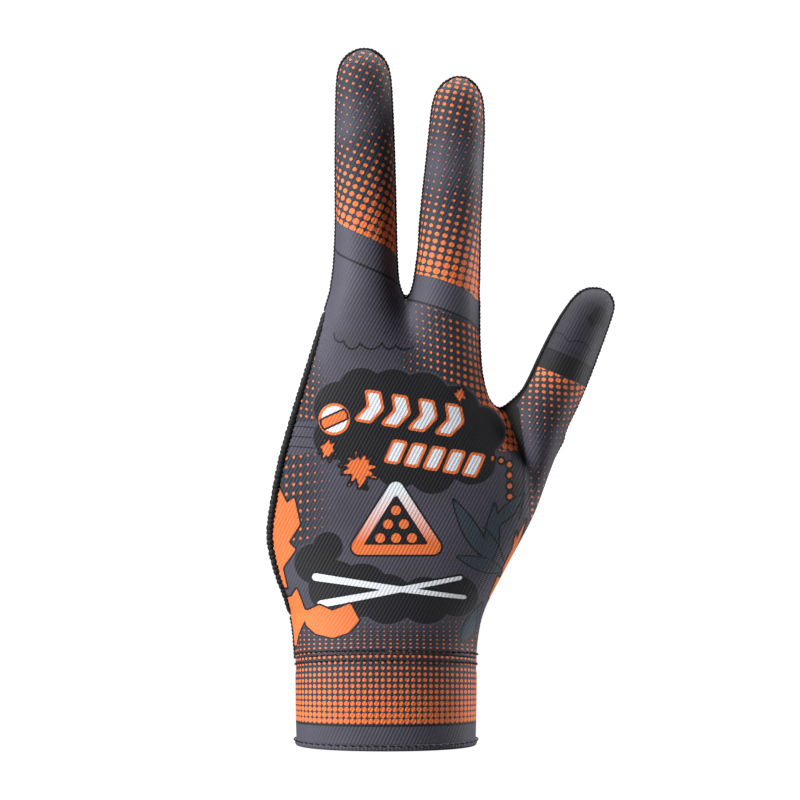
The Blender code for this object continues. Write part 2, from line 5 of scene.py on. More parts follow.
import bpy
import numpy as np
from bpy.props import FloatProperty, FloatVectorProperty, PointerProperty
from bpy.types import Operator, Panel, PropertyGroup
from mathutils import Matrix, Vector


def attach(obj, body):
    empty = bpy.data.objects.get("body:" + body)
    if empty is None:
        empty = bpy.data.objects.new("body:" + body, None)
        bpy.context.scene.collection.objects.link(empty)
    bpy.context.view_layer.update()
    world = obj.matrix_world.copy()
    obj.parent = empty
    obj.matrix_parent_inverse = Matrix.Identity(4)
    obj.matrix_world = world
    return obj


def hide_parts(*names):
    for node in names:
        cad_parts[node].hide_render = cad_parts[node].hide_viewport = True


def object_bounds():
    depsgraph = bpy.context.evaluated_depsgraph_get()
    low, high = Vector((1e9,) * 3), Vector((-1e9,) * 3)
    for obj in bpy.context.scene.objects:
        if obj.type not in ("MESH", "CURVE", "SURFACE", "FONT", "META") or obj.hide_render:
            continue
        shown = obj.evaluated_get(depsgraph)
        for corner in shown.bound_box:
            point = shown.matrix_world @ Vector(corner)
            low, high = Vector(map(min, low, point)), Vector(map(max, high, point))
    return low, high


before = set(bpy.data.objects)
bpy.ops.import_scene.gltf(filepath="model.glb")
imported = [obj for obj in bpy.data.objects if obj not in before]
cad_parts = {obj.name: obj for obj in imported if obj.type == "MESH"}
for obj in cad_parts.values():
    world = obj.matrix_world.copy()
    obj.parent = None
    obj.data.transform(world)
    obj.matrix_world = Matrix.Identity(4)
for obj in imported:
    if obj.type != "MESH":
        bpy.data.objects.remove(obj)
MODEL_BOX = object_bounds()

bl_info = {
    "name": "Billiard glove",
    "version": (1, 0, 0),
    "blender": (4, 5, 0),
    "location": "View3D > Sidebar > Glove",
    "description": "Dresses the three-finger billiard glove with printed knit, threads and light",
    "category": "Object",
}

# Shape, as the model has it
WALL = 0.0012
GAP = 0.0003
SECTION_POWER = 2.15
WRIST_WIDTH = 0.0612
WRIST_DEPTH = 0.0430
HEM_HEIGHT = 0.0022
HEM_THICKNESS = 0.0018
CUFF_HEIGHT = 0.0262
CUFF_TAPER = 0.0006
SEAM_ARCH = 0.0034
HAND_HEIGHT = 0.1213
THUMB_CROTCH_HEIGHT = 0.0842
THUMB_ROOT_HEIGHT = 0.0737
HEEL_SWELL = 0.0091
THUMB_ROOT_REACH = 0.0309
THUMB_CROTCH_REACH = 0.0385
KNUCKLE_WIDTH = 0.0510
KNUCKLE_SHIFT = 0.0059
CROTCH_SHARE = 0.517
HAND_BACK_DEPTH = 0.0150
HAND_PALM_DEPTH = 0.0165
PAD_SWELL = 0.0045
VALLEY_START = 0.55
VALLEY_POWER = 2.4
MIDDLE_LENGTH = 0.0855
MIDDLE_WIDTH = 0.0199
MIDDLE_LEAN = math.radians(-0.9)
INDEX_LENGTH = 0.0762
INDEX_WIDTH = 0.0197
INDEX_LEAN = math.radians(4.3)
FINGER_DEPTH = 0.0182
FINGER_BEND = 0.0065
THUMB_LENGTH = 0.0522
THUMB_WIDTH = 0.0190
THUMB_DEPTH = 0.0185
THUMB_LEAN = math.radians(25.0)
THUMB_FORWARD = 0.0050
THUMB_BEND = 0.0100
THUMB_SEAM_TURN = math.radians(24.0)
BACK_WRAP = math.radians(24.0)
OPENING_BOTTOM = 0.0150
OPENING_BELOW_CROTCH = 0.0037
OPENING_BACK_ANGLE = math.radians(44.0)
OPENING_PALM_ANGLE = math.radians(50.0)
BINDING_DIAMETER = 0.0020

WRIST_SEAM = HEM_HEIGHT + GAP + CUFF_HEIGHT
PANEL_LIFT = np.array([0, 0, WRIST_SEAM + GAP / 2])
OPENING_TOP = HAND_HEIGHT - OPENING_BELOW_CROTCH
OPENING_MIDDLE = (OPENING_BOTTOM + OPENING_TOP) / 2
OPENING_HALF = (OPENING_TOP - OPENING_BOTTOM) / 2

# Parts of a panel, in the order that its points are laid
REGIONS = ("lower", "upper", "middle", "index", "thumb")
# How finely the fabric is divided
HAND_COLUMNS = 60
THUMB_COLUMNS = 44
HAND_ROW_PITCH = 0.00063
LIMB_ROW_PITCH = 0.0013
CUFF_COLUMNS = 240
SNAP_ROWS = 14
STITCH_STEPS = 8
HEM_OVERLAP = 0.0005
CUFF_ROWS = 34
ROW_CROWDING = 1.25
RELAX_PASSES = 200
FABRIC_THICKNESS = 0.0009
# How far the cuff swells, and is pulled in along its top stitching: depth, place below the seam, reach
CUFF_PUFF = 0.00012
STITCH_PULL = (0.00022, 0.0028, 0.0011)
# How firmly the flat print keeps to the shape seen from the front
PRINT_HOLD = 0.0012
# The photo's frame: metres to a pixel, and the point that its middle looks at
PIXEL = 0.000338
PHOTO_SIDE = 800
VIEW_MIDDLE = (0.0047, 0.1163)
# The round floor and the cove that it bends up into
FLOOR_RADIUS = 2.4
FLOOR_DROP = 0.0004
COVE = 0.8
WALL_TOP = 3.5
FLOOR_SIDES = 64
# Lamps: place, size, and the setting that holds the power
LAMPS = {
    "left_softbox": ((-0.86, -0.52, 0.28), (0.45, 0.9), "left_power"),
    "right_softbox": ((0.90, 0.22, 0.28), (0.35, 0.9), "right_power"),
    "top_softbox": ((0.0, -0.25, 1.1), (0.9, 0.6), "top_power"),
    "backdrop_light": ((0.0, 0.55, 1.6), (2.4, 0.5), "backdrop_power"),
}

LOWER_HAND = {
    "height": (0.00, 0.12, 0.24, 0.36, 0.50, 0.64, 0.80, 0.92, 1.00),
    "heel": (0.00, 0.09, 0.35, 0.74, 1.00, 0.84, 0.56, 0.26, 0.06),
    "root": (0.000, 0.033, 0.110, 0.262, 0.437, 0.634, 0.830, 0.935, 1.000),
    "wrist": (1.00, 0.90, 0.70, 0.48, 0.26, 0.12, 0.04, 0.00, 0.00),
    "pad": (0.0, 0.1, 0.4, 0.8, 1.0, 0.9, 0.6, 0.3, 0.1),
}
UPPER_HAND = {
    "height": (0.00, 0.045, 0.10, 0.155, 0.264, 0.373, 0.48, 0.70, 1.00),
    "web": (1.00, 0.62, 0.45, 0.33, 0.19, 0.095, 0.05, 0.00, 0.00),
    "depth": (1.00, 0.995, 0.99, 0.98, 0.96, 0.94, 0.92, 0.86, 0.76),
}
MIDDLE_FINGER = {
    "along": (0.00, 0.03, 0.07, 0.13, 0.22, 0.34, 0.48, 0.62, 0.76, 0.86, 0.92, 0.962, 0.988, 1.00),
    "shift": (0.00, -0.02, -0.03, -0.02, -0.01, 0.00, 0.00, 0.00, 0.00, 0.00, 0.00, 0.00, 0.01, 0.01),
    "half": (0.661, 0.60, 0.563, 0.535, 0.515, 0.503, 0.498, 0.488, 0.473, 0.455, 0.42, 0.335, 0.21, 0.08),
    "depth": (0.62, 0.60, 0.58, 0.56, 0.54, 0.52, 0.50, 0.49, 0.47, 0.44, 0.38, 0.285, 0.165, 0.00),
    "bend": (0.00, 0.00, 0.00, 0.01, 0.04, 0.10, 0.22, 0.38, 0.58, 0.75, 0.86, 0.94, 0.98, 1.00),
}
INDEX_FINGER = {
    "along": (0.00, 0.03, 0.07, 0.13, 0.22, 0.34, 0.48, 0.62, 0.76, 0.86, 0.92, 0.962, 0.988, 1.00),
    "shift": (0.00, 0.03, 0.045, 0.05, 0.05, 0.03, 0.03, 0.03, 0.03, 0.02, 0.02, 0.02, 0.03, 0.03),
    "half": (0.627, 0.575, 0.555, 0.54, 0.52, 0.51, 0.495, 0.475, 0.46, 0.435, 0.385, 0.295, 0.18, 0.08),
    "depth": (0.62, 0.60, 0.58, 0.56, 0.54, 0.52, 0.50, 0.48, 0.46, 0.42, 0.36, 0.265, 0.15, 0.00),
    "bend": (0.00, 0.00, 0.00, 0.01, 0.04, 0.10, 0.22, 0.38, 0.58, 0.75, 0.86, 0.94, 0.98, 1.00),
}
THUMB = {
    "along": (0.00, 0.03, 0.07, 0.13, 0.22, 0.34, 0.48, 0.62, 0.74, 0.84, 0.91, 0.96, 0.988, 1.00),
    "shift": (0.00, 0.01, 0.03, 0.05, 0.065, 0.06, 0.05, 0.045, 0.05, 0.065, 0.09, 0.12, 0.14, 0.15),
    "half": (0.667, 0.62, 0.585, 0.555, 0.53, 0.512, 0.496, 0.474, 0.444, 0.405, 0.355, 0.265, 0.15, 0.06),
    "depth": (0.62, 0.61, 0.595, 0.575, 0.55, 0.53, 0.51, 0.49, 0.46, 0.415, 0.35, 0.25, 0.14, 0.00),
    "bend": (0.00, 0.01, 0.03, 0.06, 0.13, 0.24, 0.38, 0.53, 0.67, 0.79, 0.88, 0.94, 0.98, 1.00),
    "turn": (0.00, 0.15, 0.40, 0.75, 1.00, 1.00, 1.00, 1.00, 1.00, 0.95, 0.80, 0.50, 0.20, 0.00),
    "wrap": (1.00, 1.00, 0.97, 0.90, 0.70, 0.40, 0.10, 0.00, 0.00, 0.00, 0.00, 0.00, 0.00, 0.00),
}


def smooth_value(places, values, at):
    """A curve through a table's values that never overshoots them."""
    x, y, at = np.asarray(places, float), np.asarray(values, float), np.asarray(at, float)
    step = np.diff(x)
    rise = np.diff(y) / step
    slope = np.zeros(len(x))
    same_way = rise[1:] * rise[:-1] > 0
    steep = np.minimum(np.abs(rise[1:]), np.abs(rise[:-1]))
    mean = 2 * rise[1:] * rise[:-1] / np.where(same_way, rise[1:] + rise[:-1], 1)
    slope[1:-1] = np.where(same_way & (steep > 0), mean, 0)
    slope[0], slope[-1] = rise[0], rise[-1]
    k = np.clip(np.searchsorted(x, at, side="right") - 1, 0, len(step) - 1)
    t = (at - x[k]) / step[k]
    return (
        (1 + 2 * t) * (1 - t) ** 2 * y[k]
        + t * (1 - t) ** 2 * step[k] * slope[k]
        + t * t * (3 - 2 * t) * y[k + 1]
        + t * t * (t - 1) * step[k] * slope[k + 1]
    )


def column(table, name, at):
    """One named column of a section table, read at shares of its first column."""
    return smooth_value(next(iter(table.values())), table[name], at)


def opening_share(height):
    """How far the side opening is spread at a height: 1 in its middle, 0 past its ends."""
    past = (np.asarray(height, float) - OPENING_MIDDLE) / OPENING_HALF
    return np.sqrt(np.clip(1 - past**2, 0, None))


def left_edge(height):
    """Where the panels end on the little-finger side, set in from the outline by the binding."""
    share = np.clip(height / THUMB_CROTCH_HEIGHT, 0, 1)
    low = -WRIST_WIDTH / 2 - HEEL_SWELL * column(LOWER_HAND, "heel", share)
    up = np.clip((height - THUMB_CROTCH_HEIGHT) / (HAND_HEIGHT - THUMB_CROTCH_HEIGHT), 0, 1)
    end = KNUCKLE_SHIFT - KNUCKLE_WIDTH / 2
    return low + (end - low) * up + (BINDING_DIAMETER + GAP) * opening_share(height)


def valley_share(share, start):
    """How much of a groove between two limbs has formed, from none at its start to all at the crotch."""
    return np.clip((share - start) / (1 - start), 0, 1) ** VALLEY_POWER


def lower_hand(heights):
    """The rows from the wrist seam to the thumb crotch."""
    t = heights / THUMB_CROTCH_HEIGHT
    right = WRIST_WIDTH / 2 + THUMB_ROOT_REACH * column(LOWER_HAND, "root", t)
    wrist = column(LOWER_HAND, "wrist", t)
    pad = column(LOWER_HAND, "pad", t)
    drop = THUMB_CROTCH_HEIGHT - heights
    root_depth = THUMB_DEPTH * THUMB["depth"][0]
    return {
        "left": np.stack([left_edge(heights), heights], axis=1),
        "right": np.stack([right, THUMB_ROOT_HEIGHT * t], axis=1),
        "split": np.stack([THUMB_CROTCH_REACH + 0.14 * drop, heights], axis=1),
        "groove": valley_share(t, VALLEY_START),
        "forward_left": 0 * t,
        "forward_right": THUMB_FORWARD * t**2,
        "forward_split": 0.5 * THUMB_FORWARD * t**2,
        "back": wrist * WRIST_DEPTH / 2 + (1 - wrist) * HAND_BACK_DEPTH,
        "palm": wrist * WRIST_DEPTH / 2 + (1 - wrist) * HAND_PALM_DEPTH + pad * PAD_SWELL,
        "far": 0 * t + root_depth,
        "wrap_right": 0 * t + BACK_WRAP,
        "open": opening_share(heights),
        "arch": np.clip(1 - 4 * t, 0, 1) ** 2,
        "to_fingers": False,
    }


def upper_hand(heights):
    """The rows from the thumb crotch to the finger crotch. They rise late at the web, to round it."""
    t = (heights - THUMB_CROTCH_HEIGHT) / (HAND_HEIGHT - THUMB_CROTCH_HEIGHT)
    rise = t**2
    depth = column(UPPER_HAND, "depth", t)
    knuckle_end = KNUCKLE_SHIFT + KNUCKLE_WIDTH / 2
    right = knuckle_end + (THUMB_CROTCH_REACH - knuckle_end) * column(UPPER_HAND, "web", rise)
    right_height = THUMB_CROTCH_HEIGHT + (HAND_HEIGHT - THUMB_CROTCH_HEIGHT) * rise
    crotch = KNUCKLE_SHIFT + KNUCKLE_WIDTH * (CROTCH_SHARE - 0.5)
    return {
        "left": np.stack([left_edge(heights), heights], axis=1),
        "right": np.stack([right, right_height], axis=1),
        "split": np.stack([0 * t + crotch, (heights + right_height) / 2], axis=1),
        "groove": valley_share(t, 0.0),
        "forward_left": 0 * t,
        "forward_right": 0.5 * THUMB_FORWARD * (1 - t) ** 2,
        "forward_split": 0 * t,
        "back": HAND_BACK_DEPTH * depth,
        "palm": (HAND_PALM_DEPTH + LOWER_HAND["pad"][-1] * PAD_SWELL * (1 - t)) * depth,
        "far": 0 * t + FINGER_DEPTH * MIDDLE_FINGER["depth"][0],
        "wrap_right": 0 * t,
        "open": opening_share(heights),
        "arch": 0 * t,
        "to_fingers": True,
    }


def limb(table, base, lean, size, forward, turn=0.0, wrap=0.0):
    """The rows of a finger or the thumb, from its root row (base) to its tip."""
    length, width, depth, bend = size
    s = [0.0]
    for low, high in zip(table["along"], table["along"][1:]):
        steps = math.ceil((high - low) * length / LIMB_ROW_PITCH)
        s += [low + (high - low) * (k + 1) / steps for k in range(steps)]
    s = np.array(s)
    axis = np.array([math.sin(lean), math.cos(lean)])
    across = np.array([math.cos(lean), -math.sin(lean)])
    root = (base[0] + base[1]) / 2
    middle = root + np.outer(s * length, axis) + np.outer(width * column(table, "shift", s), across)
    half = width * column(table, "half", s)[:, None]
    left, right = middle - half * across, middle + half * across
    settle = np.clip(1 - s / 0.12, 0, 1)[:, None] ** 2
    left = left + settle * (base[0] - left[0])
    right = right + settle * (base[1] - right[0])
    ahead = bend * column(table, "bend", s)
    keep = np.clip(1 - s / 0.3, 0, 1)
    return {
        "left": left,
        "right": right,
        "forward_left": forward[1] + (forward[0] - forward[1]) * keep + ahead,
        "forward_right": forward[1] + (forward[2] - forward[1]) * keep + ahead,
        "back": depth * column(table, "depth", s),
        "palm": depth * column(table, "depth", s),
        "turn_left": turn * column(table, "turn", s) if turn else 0 * s,
        "wrap_right": wrap * column(table, "wrap", s) if wrap else 0 * s,
        "along": s,
    }


def on_section(section, angles):
    """Points of the closed section between two edges. Angle 0 is the right edge, pi the left edge."""
    left, right, forward_left, forward_right, back, palm = section
    c, s = np.cos(angles), np.sin(angles)
    across = np.sign(c) * np.abs(c) ** (2 / SECTION_POWER)
    out = np.sign(s) * np.abs(s) ** (2 / SECTION_POWER)
    flat = (left + right) / 2 + np.multiply.outer(across, (right - left) / 2)
    forward = forward_left + (forward_right - forward_left) * (1 + across) / 2
    return np.stack([flat[..., 0], forward - out * np.where(out > 0, back, palm), flat[..., 1]], axis=-1)


def seam_step(section, angle, way):
    """How far the angle moves so that an edge keeps half the gap to its seam."""
    start, low, high = on_section(section, angle), 0.0, 0.5
    for _ in range(16):
        step = (low + high) / 2
        if np.linalg.norm(on_section(section, angle + way * step) - start) < GAP / 2:
            low = step
        else:
            high = step
    return high


def section_columns(section, start, end, count, side, open_start=False):
    """Points along one side of a section, from its left edge to its right edge. side: 1 back, -1 palm."""
    flat = section[4] <= 1e-6
    first = start if open_start or flat else start - side * seam_step(section, start, -side)
    last = end if flat else end + side * seam_step(section, end, side)
    points = on_section(section, np.linspace(first, last, count + 1))
    if flat:
        points[:, 1] -= side * GAP / 2
    return points


def seam_rise(angle):
    """How far the arched seam between the cuff and the hand stands up over the back of the wrist."""
    return SEAM_ARCH * np.clip(np.sin(angle), 0, None)


def full_left(left, right, spread):
    """The closed section's own left edge, when the panels stop short of it by the angle spread."""
    return right - (right - left) * 2 / (1 + math.cos(spread))


def hand_row(rows, i, side, counts):
    """A row of the hand and how far the arched seam lifts each point of it."""
    total = sum(counts)
    spread = rows["open"][i] * (OPENING_BACK_ANGLE if side > 0 else OPENING_PALM_ANGLE)
    is_open = spread > 1e-6
    edge_spread = rows["open"][i] * OPENING_BACK_ANGLE
    left, right, split = rows["left"][i], rows["right"][i], rows["split"][i]
    start, end = side * (math.pi - spread), -rows["wrap_right"][i]
    depths = rows["back"][i], rows["palm"][i]
    ahead = rows["forward_left"][i], rows["forward_split"][i], rows["forward_right"][i]
    whole = (full_left(left, right, edge_spread), right, ahead[0], ahead[2], *depths)
    row = section_columns(whole, start, end, total, side, is_open)
    w = rows["groove"][i]
    if w > 0:
        far = rows["far"][i]
        near = tuple(depth + (far - depth) * w for depth in depths) if rows["to_fingers"] else depths
        first = (full_left(left, split, edge_spread), split, ahead[0], ahead[1], *near)
        second = (split, right, ahead[1], ahead[2], far, far)
        one = section_columns(first, start, 0.0, counts[0], side, is_open)
        two = section_columns(second, side * math.pi, end, counts[1], side)
        row = row + (np.vstack([one[:-1], (one[-1:] + two[:1]) / 2, two[1:]]) - row) * w
    lift = np.zeros(total + 1)
    if side > 0:
        lift = rows["arch"][i] * seam_rise(np.linspace(start, end, total + 1))
    row[:, 2] += lift
    return row, lift


def hand_patches():
    """The rows of the hand, the two fingers and the thumb."""
    turn = math.acos(np.clip((OPENING_MIDDLE - THUMB_CROTCH_HEIGHT) / OPENING_HALF, -1, 1))
    below_rows = round(OPENING_BOTTOM / HAND_ROW_PITCH)
    lower_rows = round((THUMB_CROTCH_HEIGHT - OPENING_BOTTOM) / HAND_ROW_PITCH)
    upper_rows = round((HAND_HEIGHT - THUMB_CROTCH_HEIGHT) / HAND_ROW_PITCH)
    below = OPENING_BOTTOM * np.arange(below_rows) / below_rows
    rising = turn * (np.arange(lower_rows) / lower_rows) ** ROW_CROWDING
    closing = (math.pi - turn) * (np.arange(upper_rows)[::-1] / upper_rows) ** ROW_CROWDING
    rising = OPENING_MIDDLE - OPENING_HALF * np.cos(rising)
    closing = OPENING_MIDDLE + OPENING_HALF * np.cos(closing)
    lower = lower_hand(np.hstack([below, rising, THUMB_CROTCH_HEIGHT]))
    upper = upper_hand(np.hstack([THUMB_CROTCH_HEIGHT, closing, HAND_HEIGHT]))
    finger_base = upper["left"][-1], upper["split"][-1], upper["right"][-1]
    thumb_base = lower["split"][-1], lower["right"][-1]
    level = (0.0, 0.0, 0.0)
    thumb_forward = (lower["forward_split"][-1], THUMB_FORWARD, lower["forward_right"][-1])
    middle_size = MIDDLE_LENGTH, MIDDLE_WIDTH, FINGER_DEPTH, FINGER_BEND
    index_size = INDEX_LENGTH, INDEX_WIDTH, FINGER_DEPTH, FINGER_BEND
    thumb_size = THUMB_LENGTH, THUMB_WIDTH, THUMB_DEPTH, THUMB_BEND
    return {
        "lower": lower,
        "upper": upper,
        "middle": limb(MIDDLE_FINGER, finger_base[:2], MIDDLE_LEAN, middle_size, level),
        "index": limb(INDEX_FINGER, finger_base[1:], INDEX_LEAN, index_size, level),
        "thumb": limb(THUMB, thumb_base, THUMB_LEAN, thumb_size, thumb_forward, THUMB_SEAM_TURN, BACK_WRAP),
    }


class PanelSurface:
    """One panel's outer surface: its points, their grids by patch, its faces and its eased shape."""

    def __init__(self, side):
        self.side = side
        patches = hand_patches()
        hand = 2 * HAND_COLUMNS
        counts = {"lower": (hand, THUMB_COLUMNS), "upper": (HAND_COLUMNS, HAND_COLUMNS)}
        self.points, self.lift, self.ease, self.limb = [], [], [], []
        self.count = 0
        self.grids = {name: [] for name in patches}
        for name in ("lower", "upper"):
            rows = patches[name]
            for i in range(len(rows["open"])):
                if name == "upper" and i == 0:
                    self.grids["upper"].append(self.grids["lower"][-1][: hand + 1])
                    continue
                points, lift = hand_row(rows, i, side, counts[name])
                self.add(name, points, lift, 1.0)
        self.grids["middle"].append(self.grids["upper"][-1][: HAND_COLUMNS + 1])
        self.grids["index"].append(self.grids["upper"][-1][HAND_COLUMNS:])
        self.grids["thumb"].append(self.grids["lower"][-1][hand:])
        for name, count in (("middle", HAND_COLUMNS), ("index", HAND_COLUMNS), ("thumb", THUMB_COLUMNS)):
            rows = patches[name]
            for i in range(1, len(rows["back"])):
                depths = rows["back"][i], rows["palm"][i]
                ahead = rows["forward_left"][i], rows["forward_right"][i]
                section = (rows["left"][i], rows["right"][i], *ahead, *depths)
                start = math.pi - rows["turn_left"][i] - (0 if side > 0 else 2 * math.pi)
                points = section_columns(section, start, -rows["wrap_right"][i], count, side)
                ease = float(np.clip(1 - rows["along"][i] / 0.4, 0.08, 1))
                self.add(name, points, np.zeros(len(points)), ease)
        self.points, self.lift = np.vstack(self.points), np.hstack(self.lift)
        self.ease, self.limb = np.hstack(self.ease), np.hstack(self.limb)
        quads, across, upward = [], [], []
        for grid in self.grids.values():
            for below, above in zip(grid, grid[1:]):
                quads.append(np.stack([below[:-1], below[1:], above[1:], above[:-1]], axis=1))
                upward.append(np.stack([below, above], axis=1))
            for row in grid:
                across.append(np.stack([row[:-1], row[1:]], axis=1))
        self.quads = np.vstack(quads)
        self.from_left = np.zeros(self.count)
        for row in self.grids["thumb"]:
            steps = np.linalg.norm(np.diff(self.points[row], axis=0), axis=1)
            self.from_left[row] = np.hstack([0, np.cumsum(steps)]) * 1000
        self.across = np.unique(np.vstack(across), axis=0)
        self.upward = np.unique(np.vstack(upward), axis=0)
        self.relax()

    def add(self, name, points, lift, ease):
        """Takes in one more row of points, with how the seam lifts it and how freely it eases."""
        self.grids[name].append(np.arange(self.count, self.count + len(points)))
        self.points.append(points)
        self.lift.append(lift)
        self.ease.append(np.full(len(points), ease))
        self.limb.append(np.full(len(points), REGIONS.index(name)))
        self.count += len(points)

    def rim(self):
        """The directed edges that only one face uses."""
        sides = np.vstack([self.quads[:, [k, (k + 1) % 4]] for k in range(4)])
        key = sides[:, 0] * self.count + sides[:, 1]
        back = sides[:, 1] * self.count + sides[:, 0]
        return sides[~np.isin(back, key)]

    def relax(self):
        """Eases the creases: inner points move towards the middle of their neighbours, by their ease."""
        links = np.vstack([self.across, self.upward])
        a, b = np.hstack([links[:, 0], links[:, 1]]), np.hstack([links[:, 1], links[:, 0]])
        near = np.bincount(a, minlength=self.count)
        strength = self.ease / 2
        strength[np.unique(self.rim())] = 0
        points = self.points
        for _ in range(RELAX_PASSES):
            means = np.stack(
                [np.bincount(a, points[b, k], self.count) / near for k in range(3)], axis=1
            )
            points = points + strength[:, None] * (means - points)
        self.points = points + PANEL_LIFT

    def normals(self):
        """Unit directions out of the glove at each point."""
        p = self.points[self.quads]
        normal = np.cross(p[:, 2] - p[:, 0], p[:, 3] - p[:, 1])
        total = np.zeros_like(self.points)
        for k in range(4):
            for axis in range(3):
                total[:, axis] += np.bincount(self.quads[:, k], normal[:, axis], self.count)
        total /= np.linalg.norm(total, axis=1)[:, None]
        return total * (-1 if total[:, 1].mean() * self.side > 0 else 1)

    def flattened(self):
        """Where each point lies on the flat printed fabric, in millimetres, found by least squares."""
        place = self.points[:, [0, 2]] * 1000
        want = []
        for links in (self.across, self.upward):
            step = self.points[links[:, 1]] - self.points[links[:, 0]]
            length = np.linalg.norm(step, axis=1) * 1000
            way = step[:, [0, 2]]
            if links is self.across:
                ends = np.zeros((self.count, 2))
                for grid in self.grids.values():
                    for row in grid:
                        ends[row] = self.points[row[-1]][[0, 2]] - self.points[row[0]][[0, 2]]
                way = ends[links[:, 0]] + ends[links[:, 1]]
            way = way / np.maximum(np.linalg.norm(way, axis=1), 1e-9)[:, None]
            want.append(length[:, None] * way)
        links = np.vstack([self.across, self.upward])
        a, b = links[:, 0], links[:, 1]
        want = np.vstack(want) - (place[b] - place[a])

        def spread(values):
            return np.stack(
                [
                    np.bincount(b, values[:, k], self.count) - np.bincount(a, values[:, k], self.count)
                    for k in range(2)
                ],
                axis=1,
            )

        def apply(moved):
            return spread(moved[b] - moved[a]) + PRINT_HOLD * moved

        moved = np.zeros_like(place)
        rest = spread(want)
        way = rest.copy()
        power = (rest**2).sum(axis=0)
        for _ in range(500):
            change = apply(way)
            step = power / np.maximum((way * change).sum(axis=0), 1e-30)
            moved += step * way
            rest -= step * change
            new_power = (rest**2).sum(axis=0)
            way = rest + new_power / np.maximum(power, 1e-30) * way
            power = new_power
        return place + moved

    def seam(self, part):
        """The point numbers along one stretch of the panel's edge."""
        g = self.grids
        if part == "left":
            return [row[0] for row in g["lower"] if self.points[row[0]][2] < WRIST_SEAM + OPENING_BOTTOM]
        walk = [row[-1] for row in g["lower"]] + [row[-1] for row in g["thumb"][1:-1]]
        walk += list(g["thumb"][-1][::-1]) + [row[0] for row in g["thumb"][-2:0:-1]]
        walk += [row[-1] for row in g["upper"]] + [row[-1] for row in g["index"][1:-1]]
        walk += list(g["index"][-1][::-1]) + [row[0] for row in g["index"][-2:0:-1]]
        walk += [row[-1] for row in g["middle"][:-1]] + list(g["middle"][-1][::-1])
        walk += [row[0] for row in g["middle"][-2::-1]]
        top = WRIST_SEAM + OPENING_TOP
        return walk + [row[0] for row in g["upper"][::-1] if self.points[row[0]][2] > top]


SURFACES = {}


def surface(side):
    """The back's (1) or the palm's (-1) surface, made once."""
    if side not in SURFACES:
        SURFACES[side] = PanelSurface(side)
    return SURFACES[side]


# Print. Places are in millimetres on the flat fabric: u to the right of the origin, v up from it.
NO_DOT = -0.2
BARE = -5.0
INSIDE = 9.0
SHADE = 0.02
FAR = 999.0
LINE_LIMIT = 12.0
PRINT_LAYERS = ("dot_zone", "dark", "leaf", "orange", "pale", "rack", "line", "line_on", "black")
# Plain fabric left between the dots, leaves or lines and the figures that cover them
DOT_GAP = 0.7
LEAF_GAP = 0.5
LINE_GAP = 0.3

# Dot fields: the grid (origin, pitches, slope and lean of its lines), the box that the field stays in
# (left, right, bottom, top), and the dots' radii, in shares of a cell, at places along the field
DOT_FIELDS = {
    "middle": {
        "grid": ((-7.2, 173.4), 2.58, 2.62, 25.0, 25.0),
        "box": (-FAR, FAR, -FAR, FAR),
        "at": (174, 178, 186, 196, 205, 211, 216, 222, 238),
        "radius": (0.45, 0.42, 0.34, 0.26, 0.16, 0.07, 0.08, 0.15, 0.20),
    },
    "index": {
        "grid": ((18.4, 158.0), 2.62, 2.42, 14.0, 13.0),
        "box": (-FAR, FAR, -FAR, FAR),
        "at": (152, 157, 162, 171, 181, 188, 195, 203, 212, 224),
        "radius": (0.47, 0.45, 0.39, 0.30, 0.20, 0.12, 0.06, 0.11, 0.21, 0.30),
    },
    "web": {
        "grid": ((18.0, 142.5), 2.30, 2.48, 15.0),
        "box": (-2.0, 44.0, 98.0, FAR),
        "at": (9.0, 12.5, 16.0, 21.0, 27.0, 36.0, 46.0),
        "radius": (0.02, 0.08, 0.14, 0.19, 0.23, 0.31, 0.46),
    },
    "thumb": {
        "grid": ((52.0, 122.0), 2.40, 2.10, 2.0),
        "box": (44.0, FAR, 96.0, FAR),
        "at": (-27, -20, -13, -7, -2, 1.5),
        "radius": (0.02, 0.08, 0.15, 0.23, 0.32, 0.42),
    },
    "heel": {
        "grid": ((52.0, 122.0), 2.40, 2.10, 2.0),
        "box": (47.0, FAR, 64.0, 96.0),
        "at": (66, 70, 78, 88, 96, 98),
        "radius": (0.34, 0.36, 0.25, 0.13, 0.05, 0.02),
    },
    "side_above": {
        "grid": ((-30.0, 120.0), 2.05, 2.42, 10.0),
        "box": (-FAR, -14.0, 103.0, 143.0),
        "at": (98, 104, 118, 128, 138, 142),
        "radius": (0.16, 0.19, 0.19, 0.15, 0.09, 0.03),
    },
    "side_below": {
        "grid": ((-30.0, 90.0), 2.45, 3.05, -6.0),
        "box": (-FAR, -16.0, 64.0, 99.0),
        "at": (64, 72, 86, 98),
        "radius": (0.12, 0.17, 0.19, 0.16),
    },
    "wrist": {
        "grid": ((0.0, 8.2), 2.03, 1.74, 0.0),
        "box": (-FAR, FAR, 7.0, 44.5),
        "at": (9.0, 42.0),
        "radius": (0.47, 0.085),
    },
}
MIDDLE_ROOT = (-FAR, 5.0, 150.0, FAR)
WRIST_DOTS = (8.1, 44.0)
HEM_LINE = 7.75
HEM_LINE_HALF = 0.32

# Slopes across the fingers and the side: a point on each, its fall to the right and how it bends down
MIDDLE_DOTS_FROM = ((-8.0, 171.6), 0.49)
MIDDLE_LINE = ((-8.0, 161.4), 0.47)
INDEX_DOTS_FROM = ((12.0, 158.52), 0.22, 0.010)
INDEX_LINE = ((10.0, 149.6), 0.27, 0.006)
SIDE_STRIPES = ((-30.0, 101.0), 0.10)
STRIPE_STEP = 3.4

